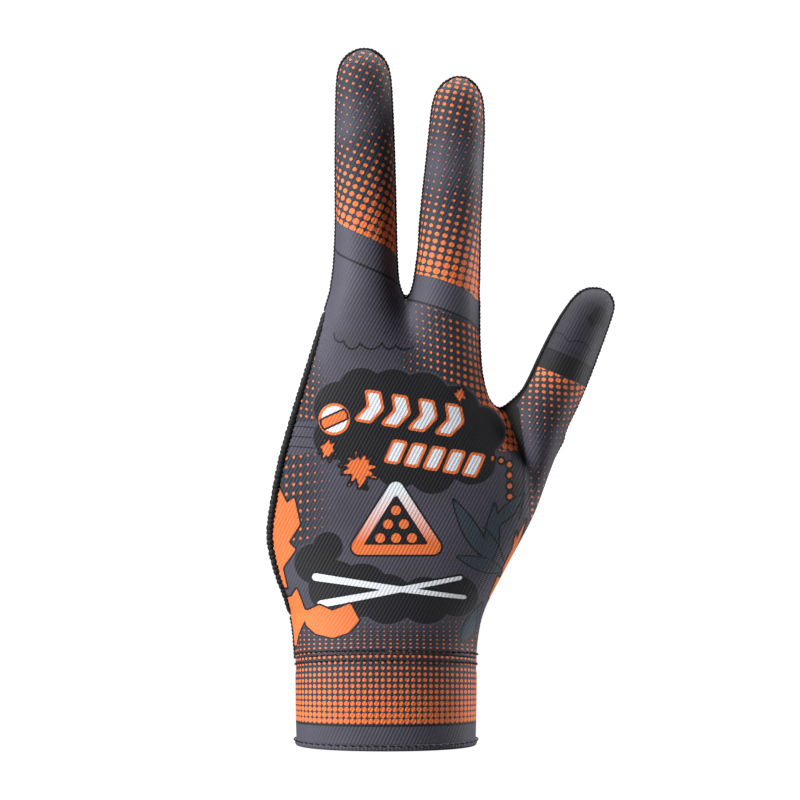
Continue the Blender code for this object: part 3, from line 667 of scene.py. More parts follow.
# The thumb's own frame (origin and turn), and the heights in it of its line, band and shade
THUMB_FRAME = (57.0, 124.0, -22.0)
THUMB_LINE = 1.7
THUMB_LINE_LEFT = 46.0
THUMB_BAND = (44.0, FAR, 1.7, 8.2)
THUMB_SHADE = 8.4
THUMB_SCALLOPS = (13.0, 1.7, 2.7)
# The black on the thumb's left, partly the black side fabric that shows there and partly painted shade in
# the crotch: its width at places along the thumb, and the bar at its root
THUMB_BLACK_AND_SHADE = ((-12, -4, 6, 18, 24), (2.4, 1.7, 1.2, 0.8, -0.5))
CROTCH_BLACK_AND_SHADE_BAR = (((43.0, 112.0), (46.6, 94.0)), 2.1, 0.5)

# Dark lines: half of a line's width, and the box that it stays in
LINES = {
    "middle": (0.42, (-FAR, 4.5, 154.0, 170.0)),
    "index": (0.42, (5.6, FAR, 134.0, 158.0)),
    "knuckles": (0.28, (-FAR, 9.5, 131.0, 139.1)),
    "thumb_scallops": (0.22, (-FAR, FAR, 10.8, 16.8)),
    "thumb": (0.42, (-FAR, FAR, -0.7, 4.1)),
    "thumb_band": (0.22, (-FAR, FAR, 6.8, 10.0)),
    "frame": (0.42, (-2.2, 2.2, 76.0, 112.0)),
    "stripes": (0.22, (-FAR, -24.0, 99.0, 110.0)),
    "stalk": (0.24, (-2.0, 2.0, 30.0, 48.0)),
    "arc": (0.24, (22.0, FAR, 62.0, 74.0)),
}
# Curves that run up the hand, as heights and places
FRAME_LINE = ((75.0, 83.0, 93.0, 113.0), (43.5, 45.3, 46.0, 43.0))
FRAME_BAND = (-4.2, 0.0, 80.0, 116.0)
STALK = ((28.0, 38.0, 52.0, 66.0), (31.0, 28.5, 29.5, 25.0))
ARC = (20.0, 60.0, 18.0)
ARC_REACH = 1.5

# Discs, each as its middle and its radius
KNUCKLE_SCALLOPS = (
    (-15.5, 138.6, 2.3), (-11.4, 137.0, 2.9), (-5.2, 139.0, 4.6), (0.8, 136.4, 2.5), (6.0, 138.8, 4.6),
)
SCALLOP_DROP = 1.25
SCALLOP_TOP = 139.5
CLOUD = (
    (-16.0, 114.0, 8.5), (-8.5, 119.0, 8.0), (2.0, 117.5, 9.0), (12.0, 116.5, 9.0), (22.0, 112.5, 8.5),
    (31.0, 106.0, 8.0), (28.0, 96.0, 8.0), (15.0, 93.0, 8.0), (4.0, 95.0, 8.0), (-7.0, 99.0, 9.0),
    (-17.0, 104.0, 7.5), (8.0, 105.0, 14.0), (-9.0, 109.0, 6.0), (19.0, 103.0, 9.0),
)
WRIST_CLOUD = (
    (-24.5, 62.0, 6.5), (-19.5, 67.5, 5.0), (-17.0, 54.0, 9.0), (0.0, 50.0, 8.5), (12.0, 49.5, 8.0),
    (22.0, 51.0, 7.0), (-8.0, 53.0, 9.0),
)
THUMB_TIP_PATCH = ((73.0, 145.5, 3.0), (70.8, 144.0, 2.0), (75.0, 143.6, 2.3))
CORNER_DOTS = (
    (34.9, 96.7, 0.75), (37.8, 96.0, 0.85), (40.6, 94.6, 0.95), (40.6, 91.0, 0.95), (40.6, 87.4, 0.95),
    (40.6, 83.8, 0.95),
)
RACK_BALLS = (
    (3.0, 79.6, 1.65), (0.4, 75.0, 1.65), (5.6, 75.0, 1.65), (-2.2, 70.4, 1.65), (3.0, 70.4, 1.65),
    (8.2, 70.4, 1.65),
)

# Figures
BALL = (-17.5, 110.0, 4.4)
BALL_STRIPE = 1.45
BALL_TURN = 24.0
RACK = ((-9.0, 67.5), (15.0, 67.5), (3.0, 86.5))
RACK_GROWTH = 2.6
CUES = (((-23.5, 57.5), (24.5, 50.5)), ((-21.5, 48.5), (23.5, 57.0)))
CUE_RADII = (1.25, 0.65)
# Rows of slanting marks: one mark's outline, the middle of the first, the step to the next, how many
MARK_TURN = -9.5
CHEVRON = ((-3.9, -4.6), (-0.6, 0.0), (-2.1, 4.6), (1.6, 4.6), (3.3, 0.0), (0.1, -4.6))
LOZENGE = ((-2.5, -3.2), (0.9, -3.2), (2.5, 3.2), (-0.9, 3.2))
MARK_ROWS = (
    (CHEVRON, (-5.0, 114.0), (8.8, -1.5), 4),
    (LOZENGE, (3.0, 99.0), (6.4, -1.1), 5),
)
# Splashes: middle, radius, number of arms, and the seed that shapes them
SPLASHES = ((-9.0, 93.5, 2.6, 11, 4), (-19.5, 100.0, 1.5, 9, 2), (24.0, 118.0, 1.1, 9, 11))
# Leaves: middle, length, width and turn
LEAVES = (
    (27.0, 73.5, 23.0, 5.0, 118.0), (34.5, 72.0, 20.0, 4.4, 84.0), (40.5, 79.5, 15.0, 3.8, 44.0),
    (30.0, 61.5, 16.0, 4.2, 160.0), (27.0, 41.5, 16.0, 4.6, 62.0), (33.0, 39.0, 13.0, 3.6, 96.0),
)
# Flames: an outline, and how far the flame grows past it
FLAMES = (
    (
        ((-50, 58), (-44, 86), (-36.5, 88), (-33.5, 82), (-31.0, 84), (-29.0, 75), (-33.0, 69),
         (-30.5, 66.5), (-35.5, 60.5), (-34.5, 54)),
        0.0,
    ),
    (
        ((-27.0, 45.0), (-22.0, 47.5), (-17.5, 45.5), (-12.0, 48.0), (-9.5, 43.0), (-12.5, 38.5),
         (-17.0, 36.5), (-22.5, 38.0), (-26.0, 41.0)),
        0.6,
    ),
    (
        ((-42, 50), (-33.0, 51.0), (-30.5, 53.5), (-27.5, 46.5), (-25.0, 45.5), (-28.5, 40.0),
         (-33.0, 33.5), (-42, 34)),
        0.0,
    ),
    (((33.5, 50.0), (36.0, 57.0), (38.5, 55.5), (42.5, 72.0), (42.5, 60.0), (39.0, 48.0)), 0.0),
    (((38.0, 60.0), (46.0, 76.0), (41.5, 62.0), (38.0, 52.0)), 0.0),
)


def areas(region):
    """Which points belong to each part of the panel, in the order of REGIONS."""
    return (region == k for k in range(len(REGIONS)))


def only(area):
    """Well inside everywhere in an area of the panel, and well outside elsewhere."""
    return np.where(area, INSIDE, -INSIDE)


def either(*parts):
    return np.max(np.broadcast_arrays(*parts), axis=0)


def both(*parts):
    return np.min(np.broadcast_arrays(*parts), axis=0)


def in_box(u, v, box):
    """How far inside a box (left, right, bottom, top) a point lies."""
    left, right, bottom, top = box
    return both(u - left, right - u, v - bottom, top - v)


def above(u, v, start, fall, bend=0.0):
    """How far a point lies above a slope through start that falls, and bends down, to the right."""
    right = u - start[0]
    return v - (start[1] - fall * right - bend * right**2)


def turned(u, v, x, y, degrees):
    """Places in a frame with its origin at x, y and turned by an angle."""
    a = math.radians(degrees)
    u, v = u - x, v - y
    return u * math.cos(a) + v * math.sin(a), v * math.cos(a) - u * math.sin(a)


def lattice(u, v, origin, across, upward, slope, lean=0.0):
    """Cell numbers of a grid of dots. slope: how far its rows fall to the right; lean: of its columns."""
    slope, lean = math.radians(slope), math.radians(lean)
    e = np.array([[across * math.cos(slope), upward * math.sin(lean)],
                  [-across * math.sin(slope), upward * math.cos(lean)]])
    inverse = np.linalg.inv(e)
    u, v = u - origin[0], v - origin[1]
    return inverse[0, 0] * u + inverse[0, 1] * v, inverse[1, 0] * u + inverse[1, 1] * v


def disc(u, v, x, y, r, squash=1.0):
    return r - np.hypot(u - x, (v - y) / squash)


def discs(u, v, places, squash=1.0):
    return either(*[disc(u, v, *place, squash) for place in places])


def bar(u, v, ends, r, r_end=None):
    """Inside a straight bar with round ends, which may taper."""
    (x0, y0), (x1, y1) = ends
    dx, dy = x1 - x0, y1 - y0
    t = np.clip(((u - x0) * dx + (v - y0) * dy) / (dx * dx + dy * dy), 0, 1)
    return r + ((r if r_end is None else r_end) - r) * t - np.hypot(u - x0 - t * dx, v - y0 - t * dy)


def shape(u, v, points):
    """Inside a closed figure, as the distance to its outline."""
    far = np.full(u.shape, 1e9)
    inside = np.zeros(u.shape, bool)
    for (x0, y0), (x1, y1) in zip(points, points[1:] + points[:1]):
        far = np.minimum(far, -bar(u, v, ((x0, y0), (x1, y1)), 0.0))
        crosses = (y0 > v) != (y1 > v)
        inside ^= crosses & (u < (x1 - x0) * (v - y0) / ((y1 - y0) or 1e-9) + x0)
    return np.where(inside, far, -far)


def leaf(u, v, x, y, length, width, degrees):
    """A pointed leaf, lying along its own middle line."""
    p, q = turned(u, v, x, y, degrees)
    t = np.clip(p / length + 0.5, 0, 1)
    half = width / 2 * np.sin(math.pi * t**0.8)
    past = np.maximum(np.abs(p) - length / 2, 0)
    return half - np.abs(q) - past


def splash(u, v, x, y, r, arms, seed):
    """A round splash with tapered arms and drops round it."""
    chance = np.random.default_rng(seed)
    parts = [disc(u, v, x, y, r)]
    for k in range(arms):
        a = 2 * math.pi * (k + chance.uniform(-0.25, 0.25)) / arms
        reach = r * chance.uniform(1.6, 2.5)
        tip = (x + reach * math.cos(a), y + reach * math.sin(a))
        parts.append(bar(u, v, ((x, y), tip), 0.55 * r, 0.10 * r))
        if k % 2:
            parts.append(disc(u, v, x + 1.25 * (tip[0] - x), y + 1.25 * (tip[1] - y), 0.14 * r))
    return either(*parts)


def slanting_marks(u, v):
    marks = []
    for outline, first, step, count in MARK_ROWS:
        for k in range(count):
            place = turned(u, v, first[0] + step[0] * k, first[1] + step[1] * k, MARK_TURN)
            marks.append(shape(*place, outline))
    return either(*marks)


def dot_field(name, u, v, along):
    """A dot field's cells, its dots' radii, and which points lie in its box."""
    field = DOT_FIELDS[name]
    radius = np.interp(along, field["at"], field["radius"])
    return lattice(u, v, *field["grid"]), radius, in_box(u, v, field["box"]) > 0


def wrist_dots(u, v):
    """The square grid of dots round the wrist, which grows towards the hem."""
    (p, q), size, near = dot_field("wrist", u, v, v)
    return p, q, np.where(near, size, NO_DOT), both(v - WRIST_DOTS[0], WRIST_DOTS[1] - v)


def back_dots(u, v, region, along):
    """The back's dot fields, laid one over the other, and how far inside its field a point lies."""
    lower, upper, middle, index, thumb = areas(region)
    p, q = np.zeros_like(u), np.zeros_like(u)
    size, zone = np.full(u.shape, NO_DOT), np.full(u.shape, BARE)

    def lay(name, area, places, inside, fade=1.0):
        cells, radius, near = dot_field(name, u, v, places)
        where = area & near
        p[where], q[where] = cells[0][where], cells[1][where]
        size[where], zone[where] = (radius * fade)[where], inside[where]

    root = upper & (in_box(u, v, MIDDLE_ROOT) > 0)
    lay("middle", middle | root, v - 0.25 * u, above(u, v, *MIDDLE_DOTS_FROM))
    over_index = above(u, v, *INDEX_DOTS_FROM)
    lay("index", index & (over_index > -2), v, over_index)
    # Below the index finger: columns of dots that grow towards the thumb
    under_line = -above(u, v, *INDEX_LINE)
    reach = u + 0.30 * (150.0 - v)
    web = (index | upper | lower) & (under_line > -0.3) & (reach > 8.5)
    lay("web", web, reach, both(under_line - 0.9, v - 99.0))
    lay("thumb", (thumb | lower) & (along > -27), along, 1.2 - along)
    lay("heel", lower, v, v - 67.0)
    # The little-finger side, where the dots fade towards the middle of the hand
    slanted_fade = np.clip((-17.0 - u - 0.25 * (v - 118)) / 8.0, 0, 1)
    lay("side_above", lower | upper, v, v - 109.5, slanted_fade)
    lay("side_below", lower, v, 99.0 - v, np.clip((-17.0 - u) / 12.0, 0, 1))
    lay("wrist", lower, v, wrist_dots(u, v)[3])
    return np.stack([p, q, size], axis=1), zone


def printed_figures(u, v, on_hand, cloud):
    """How far inside the leaves and the orange, pale and framed figures a point lies."""
    ball = disc(u, v, *BALL)
    stripe = both(ball, BALL_STRIPE - np.abs(turned(u, v, *BALL[:2], BALL_TURN)[1]))
    flames = [shape(u, v, outline) + growth for outline, growth in FLAMES]
    splashes = [splash(u, v, *place) for place in SPLASHES]
    spots = discs(u, v, RACK_BALLS + CORNER_DOTS)
    cues = [bar(u, v, ends, *CUE_RADII) for ends in CUES]
    leaves = either(*[leaf(u, v, *place) for place in LEAVES])
    return {
        "leaf": both(leaves, on_hand, -cloud - LEAF_GAP),
        "orange": both(either(*flames, *splashes, stripe, spots), on_hand),
        "pale": both(either(slanting_marks(u, v), ball), on_hand),
        "rack": both(either(shape(u, v, RACK) + RACK_GROWTH, *cues), on_hand),
    }


def dark_lines(u, v, region, across, along, off_frame):
    """The distance to a dark line over half its width, and how far inside that line's area a point lies."""
    lower, upper, middle, index, thumb = areas(region)
    lines = []

    def draw(name, area, distance, x=u, y=v, more=FAR):
        half, box = LINES[name]
        lines.append((distance / half, both(only(area), in_box(x, y, box), more)))

    draw("middle", middle | upper, above(u, v, *MIDDLE_LINE))
    draw("index", index | upper, above(u, v, *INDEX_LINE))
    knuckles = either(discs(u, v, KNUCKLE_SCALLOPS, SCALLOP_DROP), v - SCALLOP_TOP)
    draw("knuckles", lower | upper, knuckles)
    low, rise, spread = THUMB_SCALLOPS
    scallops = along - low - rise * np.abs(np.sin(across / spread))
    draw("thumb_scallops", thumb, scallops, across, along)
    draw("thumb", thumb | lower, along - THUMB_LINE, across, along, u - THUMB_LINE_LEFT)
    draw("thumb_band", thumb, along - THUMB_SHADE, across, along)
    draw("frame", lower | upper, off_frame, off_frame, v)
    up = above(u, v, *SIDE_STRIPES)
    near = np.min([np.abs(up - STRIPE_STEP * k) for k in range(3)], axis=0)
    filled = (up > 0) & (up < STRIPE_STEP) | (up > 2 * STRIPE_STEP)
    draw("stripes", lower | upper, np.where(filled, near, -near))
    off_stalk = u - np.interp(v, *STALK)
    draw("stalk", lower | upper, off_stalk, off_stalk, v)
    off_arc = -disc(u, v, *ARC)
    draw("arc", lower | upper, off_arc, more=ARC_REACH - np.abs(off_arc))
    nearest = np.argmax([inside for _, inside in lines], axis=0)
    return [np.choose(nearest, layer) for layer in zip(*lines)]


def dark_patches(u, v, region, along, off_frame, clouds):
    """The dark grounds: clouds, the thumb's tip, and the bands along the drawn lines."""
    lower, upper, _, _, thumb = areas(region)
    band = 0.8 * both(in_box(u, along, THUMB_BAND), only(thumb | lower))
    shade = both(np.where(thumb, SHADE, BARE), along - THUMB_SHADE)
    frame_band = both(only(lower | upper), in_box(off_frame, v, FRAME_BAND), SHADE)
    return either(clouds, discs(u, v, THUMB_TIP_PATCH), band, shade, frame_band)


def print_layers(u, v, region, from_left):
    """The whole print of the back, with the black and painted shade at the thumb's left: dots with their
    sizes, and how far inside each figure a point lies.
    """
    lower, upper, middle, index, thumb = areas(region)
    across, along = turned(u, v, *THUMB_FRAME)
    off_frame = u - np.interp(v, *FRAME_LINE)
    on_hand = only(lower | upper)
    cloud = discs(u, v, CLOUD)
    clouds = both(either(cloud, discs(u, v, WRIST_CLOUD)), on_hand)
    layers = printed_figures(u, v, on_hand, cloud)
    dots, zone = back_dots(u, v, region, along)
    covered = either(clouds, layers["orange"], layers["leaf"], layers["rack"])
    line, line_on = dark_lines(u, v, region, across, along, off_frame)
    hides_lines = either(cloud + LINE_GAP, layers["orange"], layers["pale"], layers["rack"])
    # Black along the thumb's left and down from its crotch: partly the black side fabric, partly painted
    # shade where the thumb meets the hand
    black_and_shade_edge = np.where(thumb, np.interp(along, *THUMB_BLACK_AND_SHADE) - from_left, BARE)
    black = either(black_and_shade_edge, bar(u, v, *CROTCH_BLACK_AND_SHADE_BAR))
    return {
        **layers,
        "dots": dots,
        "dot_zone": both(zone, -covered - DOT_GAP),
        "dark": dark_patches(u, v, region, along, off_frame, clouds),
        "line": np.clip(line, -LINE_LIMIT, LINE_LIMIT),
        "line_on": both(line_on, -hides_lines),
        "black": both(black, np.where(index | middle, BARE, INSIDE)),
    }


# Materials
INK = (0.010, 0.011, 0.014)
RIB_TURN = 62.0
PAPER = (0.80, 0.80, 0.805)


def new_material(name, slot_colour):
    material = bpy.data.materials.new(name)
    material.use_nodes = True
    material.diffuse_color = (*slot_colour, 1)
    return material, Nodes(material.node_tree)


class Nodes:
    """Short ways to add and join shader nodes."""

    def __init__(self, tree):
        self.tree = tree
        self.shader = tree.nodes["Principled BSDF"]

    def put(self, socket, value):
        if isinstance(value, bpy.types.NodeSocket):
            self.tree.links.new(value, socket)
        elif value is not None:
            socket.default_value = value

    def node(self, kind, **settings):
        node = self.tree.nodes.new(kind)
        for name, value in settings.items():
            setattr(node, name, value)
        return node

    def math(self, operation, a, b=None, c=None):
        node = self.node("ShaderNodeMath", operation=operation)
        for socket, value in zip(node.inputs, (a, b, c)):
            self.put(socket, value)
        return node.outputs[0]

    def split(self, vector):
        node = self.node("ShaderNodeSeparateXYZ")
        self.put(node.inputs[0], vector)
        return node.outputs

    def attribute(self, name):
        node = self.node("ShaderNodeAttribute", attribute_name=name)
        return node.outputs["Vector"], node.outputs["Fac"]

    def between(self, value, low, high, to_low=0.0, to_high=1.0):
        node = self.node("ShaderNodeMapRange", clamp=True)
        for socket, x in zip(node.inputs, (value, low, high, to_low, to_high)):
            self.put(socket, x)
        return node.outputs[0]

    def mix(self, fac, a, b, blend="MIX"):
        node = self.node("ShaderNodeMix", data_type="RGBA", blend_type=blend)
        self.put(node.inputs["Factor"], fac)
        for name, value in (("A", a), ("B", b)):
            socket = next(s for s in node.inputs if s.name == name and s.type == "RGBA")
            self.put(socket, (*value, 1) if isinstance(value, tuple) and len(value) == 3 else value)
        return next(s for s in node.outputs if s.type == "RGBA")

    def noise(self, scale, detail=2.0, vector=None):
        node = self.node("ShaderNodeTexNoise")
        self.put(node.inputs["Scale"], scale)
        self.put(node.inputs["Detail"], detail)
        self.put(node.inputs["Vector"], vector)
        return node.outputs["Fac"]

    def place(self):
        return self.node("ShaderNodeTexCoord").outputs["Object"]

    def bump(self, height, strength, distance, under=None):
        node = self.node("ShaderNodeBump")
        node.inputs["Strength"].default_value = strength
        node.inputs["Distance"].default_value = distance
        self.put(node.inputs["Height"], height)
        self.put(node.inputs["Normal"], under)
        return node.outputs[0]

    def finish(self, colour, roughness, normal, sheen=0.0, specular=0.35):
        shader = self.shader
        self.put(shader.inputs["Base Color"], colour if not isinstance(colour, tuple) else (*colour, 1))
        self.put(shader.inputs["Roughness"], roughness)
        self.put(shader.inputs["Normal"], normal)
        shader.inputs["Specular IOR Level"].default_value = specular
        shader.inputs["Sheen Weight"].default_value = sheen
        shader.inputs["Sheen Roughness"].default_value = 0.45


def knit_height(n, pitch, degrees, loops=0.55):
    """Ribs of a fine knit across the flat fabric, each rib broken into loops."""
    u, v, _ = n.split(n.attribute("print_place")[0])
    a = math.radians(degrees)
    along = n.math("ADD", n.math("MULTIPLY", u, math.cos(a)), n.math("MULTIPLY", v, math.sin(a)))
    over = n.math("SUBTRACT", n.math("MULTIPLY", v, math.cos(a)), n.math("MULTIPLY", u, math.sin(a)))
    rib = n.math("SINE", n.math("MULTIPLY", over, 2 * math.pi / pitch))
    loop = n.math("SINE", n.math("ADD", n.math("MULTIPLY", along, 2 * math.pi / (0.62 * pitch)), rib))
    return n.math("ADD", rib, n.math("MULTIPLY", loop, loops))


def printed_knit():
    """The sublimated print on a fine knit: dots, figures and lines over violet grey."""
    look = bpy.context.scene.glove_fabric
    material, n = new_material("printed_knit_look", tuple(look.grey))
    height = knit_height(n, look.rib_pitch, RIB_TURN)
    cloudy = n.noise(look.patchiness, 3.0, n.attribute("print_place")[0])
    fine = n.noise(2.4, 2.0, n.attribute("print_place")[0])

    def within(name, soft=0.11):
        return n.between(n.attribute(name)[1], -soft, soft)

    p, q, size = n.split(n.attribute("dots")[0])
    colour = n.mix(n.between(cloudy, 0.35, 0.65), tuple(look.grey), tuple(x * 0.80 for x in look.grey))
    near_dots = n.between(n.attribute("dot_zone")[1], -0.6, 0.2)
    ground = n.math("MULTIPLY", n.between(size, 0.02, 0.16), near_dots)
    colour = n.mix(ground, colour, tuple(look.slate))
    colour = n.mix(within("dark"), colour, tuple(look.dark))
    leaf = n.attribute("leaf")[1]
    colour = n.mix(n.between(leaf, -0.55, -0.40), colour, INK)
    leaf_colour = n.mix(n.between(fine, 0.3, 0.7), tuple(look.leaf), tuple(0.7 * x for x in look.leaf))
    colour = n.mix(within("leaf"), colour, leaf_colour)
    p = n.math("SUBTRACT", n.math("FRACT", p), 0.5)
    q = n.math("SUBTRACT", n.math("FRACT", q), 0.5)
    far = n.math("SQRT", n.math("ADD", n.math("MULTIPLY", p, p), n.math("MULTIPLY", q, q)))
    dot = n.between(n.math("SUBTRACT", size, far), -0.035, 0.035)
    dot = n.math("MULTIPLY", dot, within("dot_zone"))
    orange = n.mix(n.between(fine, 0.3, 0.7), tuple(look.orange), tuple(0.86 * x for x in look.orange))
    colour = n.mix(dot, colour, orange)
    colour = n.mix(n.between(n.attribute("pale")[1], -1.0, -0.85), colour, orange)
    colour = n.mix(within("pale"), colour, tuple(look.white))
    rack = n.attribute("rack")[1]
    height_up = n.split(n.attribute("print_place")[0])[1]
    white = n.mix(n.between(height_up, 69.0, 86.0), orange, tuple(look.white))
    white = n.mix(n.between(height_up, 59.5, 60.5), tuple(look.white), white)
    colour = n.mix(n.between(rack, -0.75, -0.6), colour, INK)
    colour = n.mix(n.between(rack, -0.1, 0.1), colour, white)
    colour = n.mix(n.between(rack, 3.2, 3.4), colour, INK)
    colour = n.mix(n.between(rack, 3.8, 4.0), colour, tuple(look.dark))
    colour = n.mix(n.between(n.attribute("orange")[1], -0.75, -0.6), colour, INK)
    colour = n.mix(within("orange"), colour, orange)
    line = n.between(n.math("ABSOLUTE", n.attribute("line")[1]), 0.75, 1.25, 0.9, 0.0)
    colour = n.mix(n.math("MULTIPLY", line, within("line_on")), colour, INK)
    colour = n.mix(within("black", 0.15), colour, tuple(look.black))
    # Painted shade: the knit's grooves, where the rib height is low, are darkened by up to 22 % towards
    # black
    colour = n.mix(n.between(height, -1.5, 1.5, 0.22, 0.0), colour, (0.0, 0.0, 0.0))
    pile = n.noise(1800.0, 2.0, n.place())
    normal = n.bump(height, 0.35, 0.00012)
    normal = n.bump(pile, 0.25, 0.00008, normal)
    n.finish(colour, n.between(cloudy, 0.3, 0.7, 0.56, 0.68), normal, 0.06, 0.22)
    return material


def black_stretch():
    """The palm's plain black stretch knit."""
    look = bpy.context.scene.glove_fabric
    material, n = new_material("black_stretch_look", tuple(look.black))
    height = knit_height(n, 0.55 * look.rib_pitch, 90.0, 0.8)
    cloudy = n.noise(0.09, 3.0, n.attribute("print_place")[0])
    colour = n.mix(n.between(cloudy, 0.35, 0.65), tuple(look.black), tuple(1.5 * x for x in look.black))
    # Painted shade: the knit's grooves, where the rib height is low, are darkened by up to 40 % towards near
    # black
    colour = n.mix(n.between(height, -1.6, 1.6, 0.4, 0.0), colour, (0.002, 0.002, 0.002))
    pile = n.noise(1900.0, 2.0, n.place())
    normal = n.bump(pile, 0.3, 0.00008, n.bump(height, 0.4, 0.00009))
    n.finish(colour, n.between(cloudy, 0.3, 0.7, 0.62, 0.74), normal, 0.05, 0.2)
    return material


def thread_look(name, colour):
    """Black sewing thread, with its strands: a painted highlight on their raised crests and painted shade in
    the grooves between them.
    """
    material, n = new_material(name, colour)
    strands = n.node("ShaderNodeTexWave", bands_direction="DIAGONAL")
    n.put(strands.inputs["Vector"], n.place())
    n.put(strands.inputs["Scale"], 900.0)
    n.put(strands.inputs["Distortion"], 3.0)
    fuzz = n.noise(2600.0, 2.0, n.place())
    # Painted highlight and shade: the thread's colour runs from 0.45 to 1.9 times itself with the strands'
    # bump height
    shade = n.mix(strands.outputs["Fac"], tuple(0.45 * x for x in colour), tuple(1.9 * x for x in colour))
    normal = n.bump(fuzz, 0.3, 0.00008, n.bump(strands.outputs["Fac"], 0.5, 0.0001))
    n.finish(shade, n.between(fuzz, 0.3, 0.7, 0.55, 0.75), normal, 0.06, 0.25)
    return material


# Meshes
def mesh_object(name, points, faces, material, layers=None, sharp=None):
    """A smooth mesh from arrays of points and faces, with its print layers as attributes."""
    mesh = bpy.data.meshes.new(name)
    mesh.from_pydata(np.asarray(points).tolist(), [], [list(map(int, face)) for face in faces])
    if mesh.validate():
        raise RuntimeError(f"{name} has faces that Blender refuses")
    mesh.shade_smooth()
    if sharp:
        mesh.set_sharp_from_angle(angle=math.radians(sharp))
    add_layers(mesh, layers or {})
    mesh.materials.append(material)
    obj = bpy.data.objects.new(name, mesh)
    bpy.context.collection.objects.link(obj)
    return obj


def add_layers(mesh, layers):
    """Stores arrays on a mesh, one value or one triple for each point."""
    for key, values in layers.items():
        values = np.ascontiguousarray(values, np.float32)
        kind, name = ("FLOAT_VECTOR", "vector") if values.ndim == 2 else ("FLOAT", "value")
        mesh.attributes.new(key, kind, "POINT").data.foreach_set(name, values.ravel())


def add_print(obj, layers):
    """Gives a piece in the printed knit its print layers, and a bare value for each one that it lacks."""
    count = len(obj.data.vertices)
    whole = {name: np.full(count, BARE) for name in PRINT_LAYERS}
    whole["dots"] = np.tile((0.0, 0.0, NO_DOT), (count, 1))
    add_layers(obj.data, {**whole, **layers})


def inside_out(layers, count):
    """The same layers for both sides of a wall, with no print on its hidden side."""
    bare = {key: np.full(values.shape, BARE) for key, values in layers.items()}
    bare["dots"] = np.tile((0.0, 0.0, NO_DOT), (count, 1))
    bare["print_place"] = layers["print_place"]
    return {key: np.concatenate([values, bare[key]]) for key, values in layers.items()}


def panel_mesh(name, side, material, printed):
    """One panel with its thickness, its rims closed."""
    s = surface(side)
    normals = s.normals()
    inner = s.points - normals * FABRIC_THICKNESS
    quads = s.quads
    one = quads[len(quads) // 2]
    a, b, c, d = s.points[one]
    facing = np.dot(np.cross(c - a, d - b), normals[one[0]])
    if facing < 0:
        quads = quads[:, ::-1]
    rim = s.rim() if facing > 0 else s.rim()[:, ::-1]
    walls = np.stack([rim[:, 1], rim[:, 0], rim[:, 0] + s.count, rim[:, 1] + s.count], axis=1)
    faces = np.vstack([quads, quads[:, ::-1] + s.count, walls])
    flat = s.flattened()
    flat[:, 1] -= s.lift * 1000
    layers = {"print_place": np.stack([flat[:, 0], flat[:, 1], 0 * flat[:, 0]], axis=1)}
    if printed:
        layers.update(print_layers(flat[:, 0], flat[:, 1], s.limb, s.from_left))
        layers = inside_out(layers, s.count)
    else:
        layers["print_place"] = np.vstack([layers["print_place"]] * 2)
    return mesh_object(name, np.vstack([s.points, inner]), faces, material, layers)


def wrist_section(width, depth, angle, height):
    edge = np.array([width / 2, height])
    return on_section((edge * (-1, 1), edge, 0.0, 0.0, depth / 2, depth / 2), np.asarray(angle))


def level(height):
    """The same height all round the wrist."""
    return lambda angles: 0 * angles + height


def ring_mesh(name, profile, material, layers_at):
    """A band round the wrist from a profile: pairs of a height function and an outward offset."""
    angles = 2 * math.pi * np.arange(CUFF_COLUMNS) / CUFF_COLUMNS
    points, flat = [], []
    for share, height_at, out in profile:
        less = CUFF_TAPER * (1 - share) - 2 * out
        row = wrist_section(WRIST_WIDTH - less, WRIST_DEPTH - less, angles, 0.0)
        row[:, 2] = height_at(angles)
        points.append(row)
        turned_row = np.roll(row, -CUFF_COLUMNS // 4, axis=0)
        around = np.hstack([0, np.cumsum(np.linalg.norm(np.diff(turned_row, axis=0), axis=1))])
        whole = around[-1] + np.linalg.norm(turned_row[0] - turned_row[-1])
        around = np.where(around > whole / 2, around - whole, around)
        flat.append(np.roll(-around, CUFF_COLUMNS // 4) * 1000)
    rows = len(points)
    index = np.arange(rows * CUFF_COLUMNS).reshape(rows, CUFF_COLUMNS)
    a, b = index, np.roll(index, -1, axis=0)
    quads = np.stack([a, np.roll(a, -1, axis=1), np.roll(b, -1, axis=1), b], axis=-1).reshape(-1, 4)
    u = np.hstack(flat)
    v = np.hstack([np.full(CUFF_COLUMNS, layers_at(share)) for share, _, _ in profile])
    layers = {"print_place": np.stack([u, v, 0 * u], axis=1)}
    return mesh_object(name, np.vstack(points), quads, material, layers), u, v


